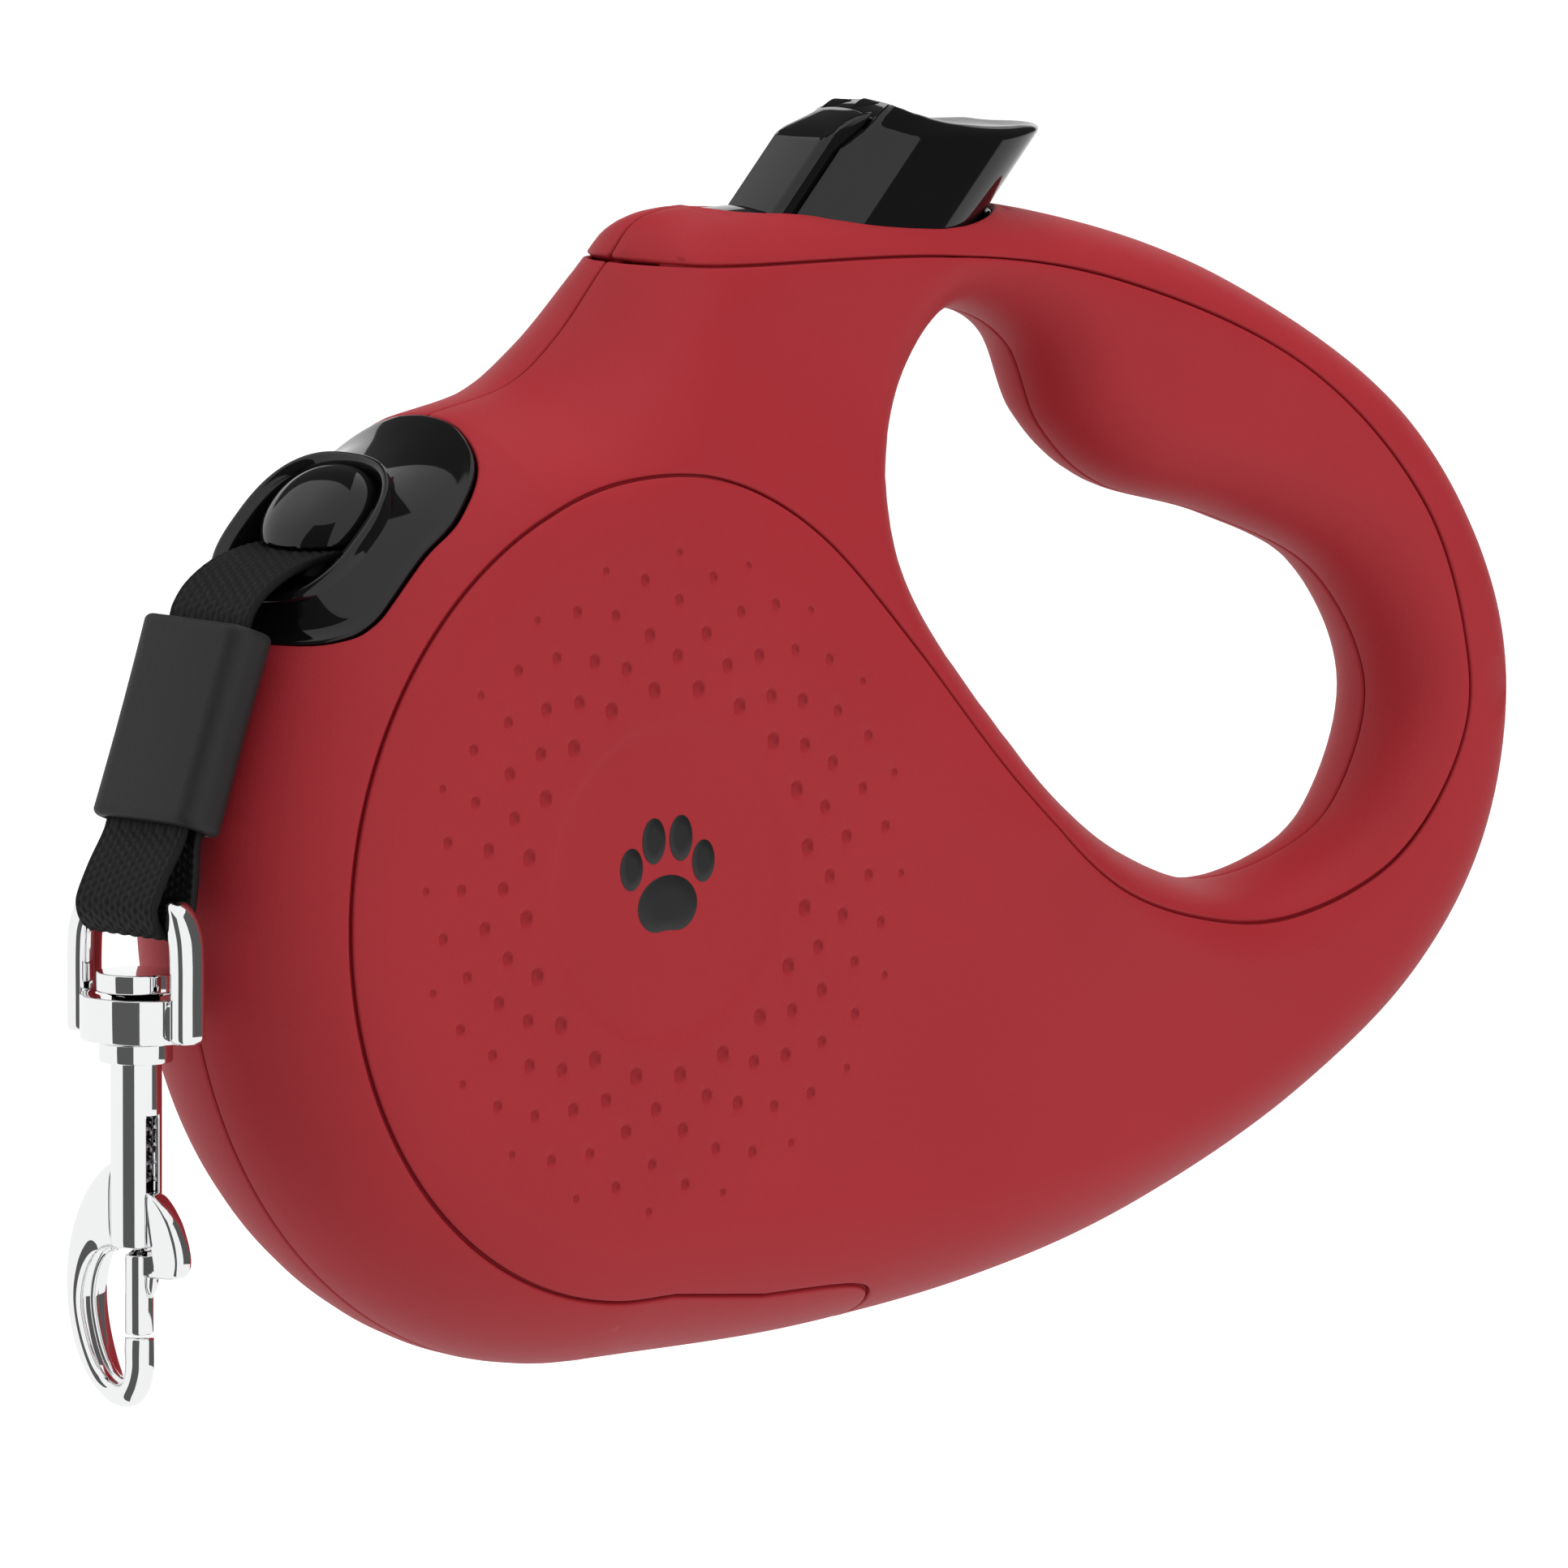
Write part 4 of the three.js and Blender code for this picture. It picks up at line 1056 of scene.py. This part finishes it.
def build_brake_button():
    """A thumb dish between two raised edges that run from high shoulders at the front to a low lip."""
    rim = along_press([
        (42.2, 79.6), (45, 80.7), (47.4, 81.9), (48.9, 82.4), (50.4, 82), (52.2, 81.3),
        (55, 80.4), (58.4, 79.6), (63.7, 78.8), (69, 78.4), (72.6, 78.2), (75, 78),
    ])
    side = spline(BRAKE_SIDE, 0.3)
    dish_deep, dish_half, crown_high = 0.8, 0.72, 0.5
    bevel_rear, bevel_more_in_front = 0.5, 2.1

    def top(across, y):
        width = np.interp(np.minimum(across, -8), *side.T)
        share = np.abs(y) / np.maximum(width, 0.5)
        between_edges = 1 - np.clip(share / dish_half, 0, 1) ** 2
        bevel = bevel_rear + bevel_more_in_front * smoothstep(-across, 10, 24)
        bevel *= smoothstep(share, 0.76, 1.05)
        dish = dish_deep * between_edges * smoothstep(across, -21, -16)
        dish *= 1 - smoothstep(across, -5, -1.5)
        crown = crown_high * between_edges * (1 - smoothstep(across, -24, -19))
        return rim(across) - bevel - dish + crown

    def foot(at):
        """Level with the skirt's foot, and higher under the cheeks beside the lock button."""
        return BRAKE_SKIRT * math.sqrt(2) + at[:, 0] + 6 * smoothstep(-at[:, 0], 21, 24)

    made = button("brake_thumb_button", brake_outline(), top, foot, 1.2)
    finish_piece(made, "brake", "gloss_black", "brake_button")


# ---- Tape and sleeve ----
TAPE_ROUTE = [
    (-2.8, 41.95), (-14, 41.2), (-26, 40.3), (-36.7, 39.4),
    (-42, 38.9), (-46.3, 37.8), (-49.8, 35.9), (-51.7, 33.9),
]
DOWN = unit(SLEEVE_BOTTOM - SLEEVE_TOP)
TOWARDS_CASE = np.array((-DOWN[1], DOWN[0]))
SLEEVE_LONG = float(np.linalg.norm(SLEEVE_BOTTOM - SLEEVE_TOP))
WEAVE = {"column": 0.92, "row": 1.15, "high": 0.19, "lean": 0.5}
TAPE_EDGE = 0.25
LOOP_RADIUS, LAYER = 2.9, 1.15


def ribbon_line():
    """The tape's middle line: out of the case, down the sleeve, round the bar and back up the sleeve."""
    bar = np.array((BAR_X, BAR_Z))
    down = unit(bar - SLEEVE_BOTTOM)
    side = np.array((-down[1], down[0]))
    knots = [*TAPE_ROUTE, tuple(SLEEVE_TOP)]
    for far, off in ((4, 0), (10, -0.7), (15, -1.1), (SLEEVE_LONG, -LAYER)):
        knots.append(tuple(SLEEVE_TOP + DOWN * far + TOWARDS_CASE * off))
    for far, off in ((2, -1.35), (5.5, -2.3)):
        knots.append(tuple(SLEEVE_BOTTOM + down * far + side * off))
    for turn in np.radians(np.linspace(0, 180, 7)):
        knots.append(tuple(bar - side * LOOP_RADIUS * math.cos(turn) + down * LOOP_RADIUS * math.sin(turn)))
    for far, off in ((5.5, 2.3), (2, 1.35), (0, LAYER)):
        knots.append(tuple(SLEEVE_BOTTOM + down * far + side * off))
    knots.append(tuple(SLEEVE_BOTTOM - DOWN * 9 + TOWARDS_CASE * LAYER))
    return spline(knots, 0.02)


def ribbon_rows():
    """Places along the tape, close together except inside the sleeve and behind the mouth."""
    line = ribbon_line()
    far = np.concatenate([[0], np.cumsum(np.linalg.norm(np.diff(line, axis=0), axis=1))])
    in_sleeve = distance(line, np.vstack([SLEEVE_TOP + DOWN, SLEEVE_BOTTOM - DOWN])) < 2.2
    behind_mouth = line[:, 0] > -34
    spacing = np.where(in_sleeve | behind_mouth, 0.9, 0.165)
    ticks = np.concatenate([[0], np.cumsum(np.diff(far) / spacing[1:])])
    stops = np.interp(np.arange(0, ticks[-1], 1.0), ticks, far)
    return np.column_stack([np.interp(stops, far, line[:, k]) for k in (0, 1)]), stops


def build_tape():
    """The tape as one woven ribbon: raised strands in columns, with every other column half a row on."""
    middle, far = ribbon_rows()
    half_wide, half_thick = TAPE_WIDTH / 2, TAPE_THICK / 2
    y = np.linspace(-half_wide + TAPE_EDGE, half_wide - TAPE_EDGE, 74)
    column = np.floor(y / WEAVE["column"])
    across = (y / WEAVE["column"] - column) * 2 - 1
    strand = np.sqrt(np.maximum(1 - across**2, 0))
    phase = 2 * math.pi * far[:, None] / WEAVE["row"] + math.pi * (column % 2)[None]
    lean = WEAVE["lean"] * across[None] * np.where(column % 2, 1, -1)[None]
    bumps = WEAVE["high"] * (strand[None] * (0.62 + 0.38 * np.cos(phase + lean)) - 0.85)
    edge = np.radians([60, 30, 0, -30, -60])
    edge_wide, edge_high = half_wide - TAPE_EDGE + TAPE_EDGE * np.cos(edge), half_thick * np.sin(edge)
    wide = np.concatenate([y, edge_wide, y[::-1], -edge_wide])
    loops = []
    for place, out, bump in zip(middle, sideways(middle), bumps):
        height = np.concatenate([half_thick + bump, edge_high, -(half_thick + bump[::-1]), -edge_high])
        loops.append(np.column_stack([place[0] + out[0] * height, wide, place[1] + out[1] * height]))
    return lofted("tape", loops, WEBBING)


def sleeve_loop(far, half_thick, half_wide, corner, inset=0.0):
    """A rounded rectangle across the sleeve, this far down it."""
    loop = rectangle(-half_thick, half_thick, half_wide, corner, corner, inset=inset)
    at = SLEEVE_TOP + DOWN * far + TOWARDS_CASE * loop[:, :1]
    return np.column_stack([at[:, 0], loop[:, 1], at[:, 1]])


def build_sleeve():
    """The soft sleeve over the doubled tape: rounded ends, slightly pinched sides and a hole through it."""
    outside = (SLEEVE_THICK / 2, SLEEVE_WIDTH / 2, SLEEVE_CORNER)
    hole = (2.1, 6.7, 1.0)
    edge, pinch = 0.8, 0.12
    turns = np.radians([90, 70, 50, 30, 10])
    stations = [(edge * (1 - math.sin(turn)), edge * (1 - math.cos(turn))) for turn in turns]
    for share in np.linspace(0.05, 0.95, 14):
        stations.append((SLEEVE_LONG * share, pinch * math.sin(math.pi * share)))
    for turn in turns[::-1]:
        stations.append((SLEEVE_LONG - edge * (1 - math.sin(turn)), edge * (1 - math.cos(turn))))
    loops = [sleeve_loop(far, *outside, inset) for far, inset in stations]
    loops += [sleeve_loop(far, *hole) for far in (SLEEVE_LONG, SLEEVE_LONG - 1, SLEEVE_LONG / 2, 1, 0)]
    return lofted("soft_sleeve", loops, RUBBER, around=True)


# ---- Bolt snap ----
ARM = 8.3
BARREL = {"radius": 2.9, "wall": 0.7, "top": -15.6, "bottom": -36.6}
BOLT_Y = -0.5
SLOT = {"half": 1.15, "top": -21.6}


def build_bail():
    """The arch that the tape passes round, with a collar round the swivel and a lug from arm to arm."""
    left = [
        (-ARM, -13.0), (-ARM, -9), (-ARM, -4), (-ARM + 0.35, -0.9), (-6.6, BAR_Z - 0.35), (-4.5, BAR_Z),
    ]
    line = spline([*left, (0, BAR_Z), *((-y, z) for y, z in reversed(left))], 0.5)
    path = np.column_stack([np.full(len(line), BAR_X), line])
    wide = BAR_RADIUS + 0.35 * smoothstep(np.abs(line[:, 0]), 5.5, 8)
    ends = np.ones(len(line))
    ends[[0, -1]] = 0.9
    arms = sweep(path, (1, 0, 0), wide * ends, 1.5 * ends, power=0.72)
    collar = turned(softened([(3.0, -8.3), (5.9, -8.3), (5.9, -13.3), (3.0, -13.3)], 0.2), BAR_X, 0)
    collar = [loop * (1, 1.14, 1) for loop in collar]
    path = [(BAR_X, y, -10.8) for y in np.linspace(-7.6, 7.6, 5)]
    lugs = sweep(path, (1, 0, 0), 1.6, 2.2, power=0.4)
    parts = [skinned(arms), skinned(collar, around=True), skinned(lugs)]
    return mesh_object("snap_bail", *together(parts), CHROME)


def build_rivet():
    profile = [
        (NEAR_AXIS, -5.7), (4.45, -5.7), (4.45, -7.9), (2.7, -7.9), (2.7, -13.9), (NEAR_AXIS, -13.9),
    ]
    return lofted("snap_rivet", turned(softened(profile, 0.25), BAR_X, 0), CHROME)


def barrel_skin():
    """The barrel's wall as an open sheet with its thumb slot left out, made solid."""
    count = 96
    turn = once_round(count)
    slot_half = SLOT["half"] / BARREL["radius"]
    below = np.linspace(SLOT["top"], BARREL["bottom"] + 0.2, 26)
    heights = np.concatenate([np.linspace(BARREL["top"], SLOT["top"], 8)[:-1], below])
    points = np.vstack(turned([(BARREL["radius"], z) for z in heights], BAR_X, 0, count))
    faces = []
    for i in range(len(heights) - 1):
        for j in range(count):
            middle = turn[j] + math.pi / count
            if abs(middle - 1.5 * math.pi) < slot_half and heights[i] <= SLOT["top"] + 1e-6:
                continue
            k = (j + 1) % count
            faces.append((i * count + j, (i + 1) * count + j, (i + 1) * count + k, i * count + k))
    return shell(points, faces, BARREL["wall"], rim=0.15, steps=3)


# The hook as cast: outer and inner edge in (y, z), and half its depth along X, from its root to its tip.
HOOK = [
    ((2.2, -26.8), (2.2, -37.2), 2.0), ((4.2, -28.1), (3.4, -37.2), 2.2),
    ((6.0, -30.0), (4.5, -37.6), 2.35), ((7.5, -32.6), (5.4, -38.5), 2.5),
    ((8.6, -35.8), (6.2, -40.0), 2.6), ((9.1, -39.2), (6.7, -41.8), 2.6),
    ((9.1, -42.6), (6.8, -43.8), 2.6), ((8.6, -46.0), (6.4, -46.0), 2.55),
    ((7.6, -49.0), (5.6, -48.4), 2.45), ((6.1, -51.8), (4.6, -50.3), 2.3),
    ((4.3, -53.8), (3.5, -51.5), 2.1), ((2.3, -54.9), (2.2, -52.1), 1.95),
    ((0.2, -54.6), (1.2, -51.7), 1.8), ((-1.3, -53.0), (1.0, -50.6), 1.7),
    ((-2.1, -50.8), (1.1, -49.4), 1.65), ((-2.2, -48.6), (1.2, -48.3), 1.65),
    ((-2.2, -46.9), (1.2, -46.9), 1.6),
]


def build_hook():
    """The hook and its barrel, with a flange on top and a raised line along the hook's inner edge."""
    profile = [(NEAR_AXIS, -13.6), (4.15, -13.6), (4.15, -15.8), (NEAR_AXIS, -15.8)]
    neck = turned(softened(profile, 0.2), BAR_X, 0)
    stations = spline([(*outer, *inner, deep) for outer, inner, deep in HOOK], 0.45)
    loops = []
    for share, (*edges, deep) in zip(np.linspace(0, 1, len(stations)), stations):
        outer, inner = np.array(edges[:2]), np.array(edges[2:])
        ring = oval((1, 1), 40, 0.62 + 0.38 * smoothstep(share, 0.55, 0.8))
        middle = (outer + inner) / 2 + ring[:, :1] * (outer - inner) / 2
        loops.append(np.column_stack([BAR_X + deep * ring[:, 1], middle]))
    inner_edge = stations[6:-12, 2:4]
    path = np.column_stack([np.full(len(inner_edge), BAR_X), inner_edge])
    ridge = sweep(path, (1, 0, 0), 0.55, 0.4, count=12)
    parts = [skinned(neck), barrel_skin(), skinned(loops), skinned(ridge)]
    return mesh_object("snap_hook", *together(parts), CHROME)


def build_bolt():
    """The sliding bolt with its stem inside the spring, its thumb fin and the tongue below the fin."""
    profile = [
        (NEAR_AXIS, -26), (0.75, -26), (0.75, -37), (1.62, -37.6), (1.62, -46.5), (NEAR_AXIS, -46.5),
    ]
    rod = turned(softened(profile, 0.3), BAR_X, BOLT_Y, count=48)
    fin = [
        (-2.4, -30.4), (-3.4, -30.4), (-4.8, -31.4), (-6.5, -33.4), (-7.6, -35.8), (-8.0, -37.8),
        (-7.7, -39.2), (-6.6, -39.8), (-4, -39.9), (-1.2, -39.9), (-1.2, -37.9), (-2.4, -36.8),
    ]
    outline = softened(fin, 0.9, 3)
    centre = outline.mean(0)
    loops = []
    sides = [(-1.2, 0.55), (-1.1, 0.2), (-0.8, 0.05), (-0.72, 0)]
    for x, shrink in [*sides, *((-x, shrink) for x, shrink in reversed(sides))]:
        edge = outline - unit(outline - centre) * shrink
        if abs(x) > 0.72:
            edge[:, 0] = np.minimum(edge[:, 0], -BARREL["radius"] - 0.15)
        loops.append(np.column_stack([np.full(len(edge), BAR_X + x), edge]))
    tongue_path = [(BAR_X, -2.6, -39), (BAR_X, -2.5, -41), (BAR_X, -2.2, -42.2)]
    tongue = sweep(tongue_path, (1, 0, 0), [0.7, 0.65, 0.35], [1.0, 0.7, 0.3])
    parts = [skinned(part) for part in (rod, loops, tongue)]
    return mesh_object("snap_bolt", *together(parts), CHROME)


def build_tape_end():
    """The tape, the sleeve and the snap."""
    tape = build_tape()
    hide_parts("leash_tape", "tape_loop")
    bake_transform(tape)
    sleeve = finish_piece(build_sleeve(), "tape_end", "sleeve_rubber", "rubber_sleeve")
    bail = finish_piece(build_bail(), "bail", "snap_chrome", "hook_bail")
    rivet = finish_piece(build_rivet(), "hook", "snap_chrome", "swivel_rivet")
    hook = finish_piece(build_hook(), "hook", "snap_chrome", "hook_body")
    bolt = finish_piece(build_bolt(), "bolt", "snap_chrome", "hook_bolt")
    in_sleeve = [SLEEVE_TOP + DOWN * SLEEVE_LONG * k / 4 for k in (0, 1, 2, 3, 4)]
    line = spline([*TAPE_ROUTE, *in_sleeve, (BAR_X, BAR_Z)], 2.0)


# ---- Studio ----
def build_camera():
    """A long lens that looks at the left side and the nozzle from a little above."""
    azimuth, elevation, far = math.radians(-44.2), math.radians(7.7), 5.8536
    aim = Vector((10.3, -27.4, 11.0)) * MM + REEL
    level = math.cos(elevation)
    back = Vector((math.sin(azimuth) * level, -math.cos(azimuth) * level, math.sin(elevation)))
    lens = bpy.data.cameras.new("camera")
    lens.lens = 1200
    lens.sensor_width = 36
    lens.clip_start, lens.clip_end = 0.1, 60
    camera = bpy.data.objects.new("camera", lens)
    camera.location = aim + back * far
    camera.rotation_mode = "QUATERNION"
    camera.rotation_quaternion = (-back).to_track_quat("-Z", "Y")
    bpy.context.scene.collection.objects.link(camera)
    bpy.context.scene.camera = camera


def build_floor():
    """A wide pale floor well below the snap."""
    far, height = 9.0, CAD_BOX[0].z - 0.13
    corners = [(x * far, y * far, height) for x, y in ((-1, -1), (1, -1), (1, 1), (-1, 1))]
    mesh = bpy.data.meshes.new("floor")
    mesh.from_pydata(corners, [], [(0, 1, 2, 3)])
    made = bpy.data.materials.new("floor")
    made.use_nodes = True
    tree = made.node_tree
    shader = tree.nodes["Principled BSDF"]
    place = node(tree, "TexCoord").outputs["Object"]
    cloud = node(tree, "TexNoise", {"Vector": place, "Scale": 3.0}).outputs["Fac"]
    shades = {"Color1": (0.86, 0.86, 0.86, 1), "Color2": (0.9, 0.9, 0.9, 1)}
    mix = node(tree, "MixRGB", {"Fac": cloud, **shades})
    tree.links.new(mix.outputs["Color"], shader.inputs["Base Color"])
    shader.inputs["Roughness"].default_value = 0.9
    shader.inputs["Emission Color"].default_value = (1, 1, 1, 1)
    shader.inputs["Emission Strength"].default_value = 0.35
    mesh.materials.append(made)
    floor = bpy.data.objects.new("floor", mesh)
    bpy.context.scene.collection.objects.link(floor)
    floor.visible_glossy = False
    floor.visible_diffuse = False


# The light that comes from below the horizon, and the dark panels: bearing of the middle and half the
# width in degrees, then the lower and upper edge as the height of a unit vector.
DIM_BELOW = (0.8, 0.8, 0.8, 1)
WHITE, DARK = (1, 1, 1, 1), (0.1, 0.1, 0.1, 1)
DARK_PANELS = [(-20, 38, -0.2, 0.7), (60, 25, 0.35, 1.01), (-160.5, 19.5, -1, 0.7), (173, 8, -1, 0.7)]


def build_world():
    """A white room with dark upright panels, which give gloss and chrome their bands."""
    world = bpy.data.worlds.new("studio")
    bpy.context.scene.world = world
    world.use_nodes = True
    tree = world.node_tree
    direction = node(tree, "TexCoord").outputs["Generated"]
    parts = node(tree, "SeparateXYZ", {"Vector": direction})

    def maths(operation, *values):
        return node(tree, "Math", dict(enumerate(values)), operation=operation).outputs[0]

    def mixed(share, first, second):
        return node(tree, "MixRGB", {"Fac": share, "Color1": first, "Color2": second}).outputs["Color"]

    bearing = maths("MULTIPLY", maths("ARCTAN2", parts.outputs["Y"], parts.outputs["X"]), 180 / math.pi)
    dark = None
    for middle, half, low, high in DARK_PANELS:
        wide = maths("COMPARE", bearing, middle, half)
        tall = maths("COMPARE", parts.outputs["Z"], (low + high) / 2, (high - low) / 2)
        panel = maths("MULTIPLY", wide, tall)
        dark = panel if dark is None else maths("MAXIMUM", dark, panel)
    ray = node(tree, "LightPath").outputs
    from_below = maths("MULTIPLY", ray["Is Diffuse Ray"], maths("LESS_THAN", parts.outputs["Z"], 0.0))
    lit = mixed(from_below, mixed(dark, WHITE, DARK), DIM_BELOW)
    background = tree.nodes["Background"]
    tree.links.new(mixed(ray["Is Camera Ray"], lit, WHITE), background.inputs["Color"])
    background.inputs["Strength"].default_value = 1.0


def build_lights():
    """Three square lamps, each a metre wide, that shine on the reel from the given places about it."""
    lamps = [
        ("key", (1.0, -1.0, 1.6), 9), ("fill", (0.9, -1.6, 0.1), 5), ("top", (0.3, 0.6, 2.0), 10),
    ]
    for name, place, power in lamps:
        lamp = bpy.data.lights.new(name, "AREA")
        lamp.size = 1.0
        lamp.energy = power
        light = bpy.data.objects.new(name, lamp)
        light.location = REEL + Vector(place)
        light.rotation_mode = "QUATERNION"
        light.rotation_quaternion = (-Vector(place)).to_track_quat("-Z", "Y")
        bpy.context.scene.collection.objects.link(light)
        light.visible_glossy = False


bpy.context.scene.view_settings.view_transform = "Standard"
build_camera()
build_tape_end()
build_floor()
build_world()
build_lights()
build_case()
build_screw_wells()
build_seam_tongues()
build_paw_print()
build_bezel()
build_mouth_ring()
build_guide()
build_tray()
build_lock_button()
build_brake_button()
dress_carried_nodes()
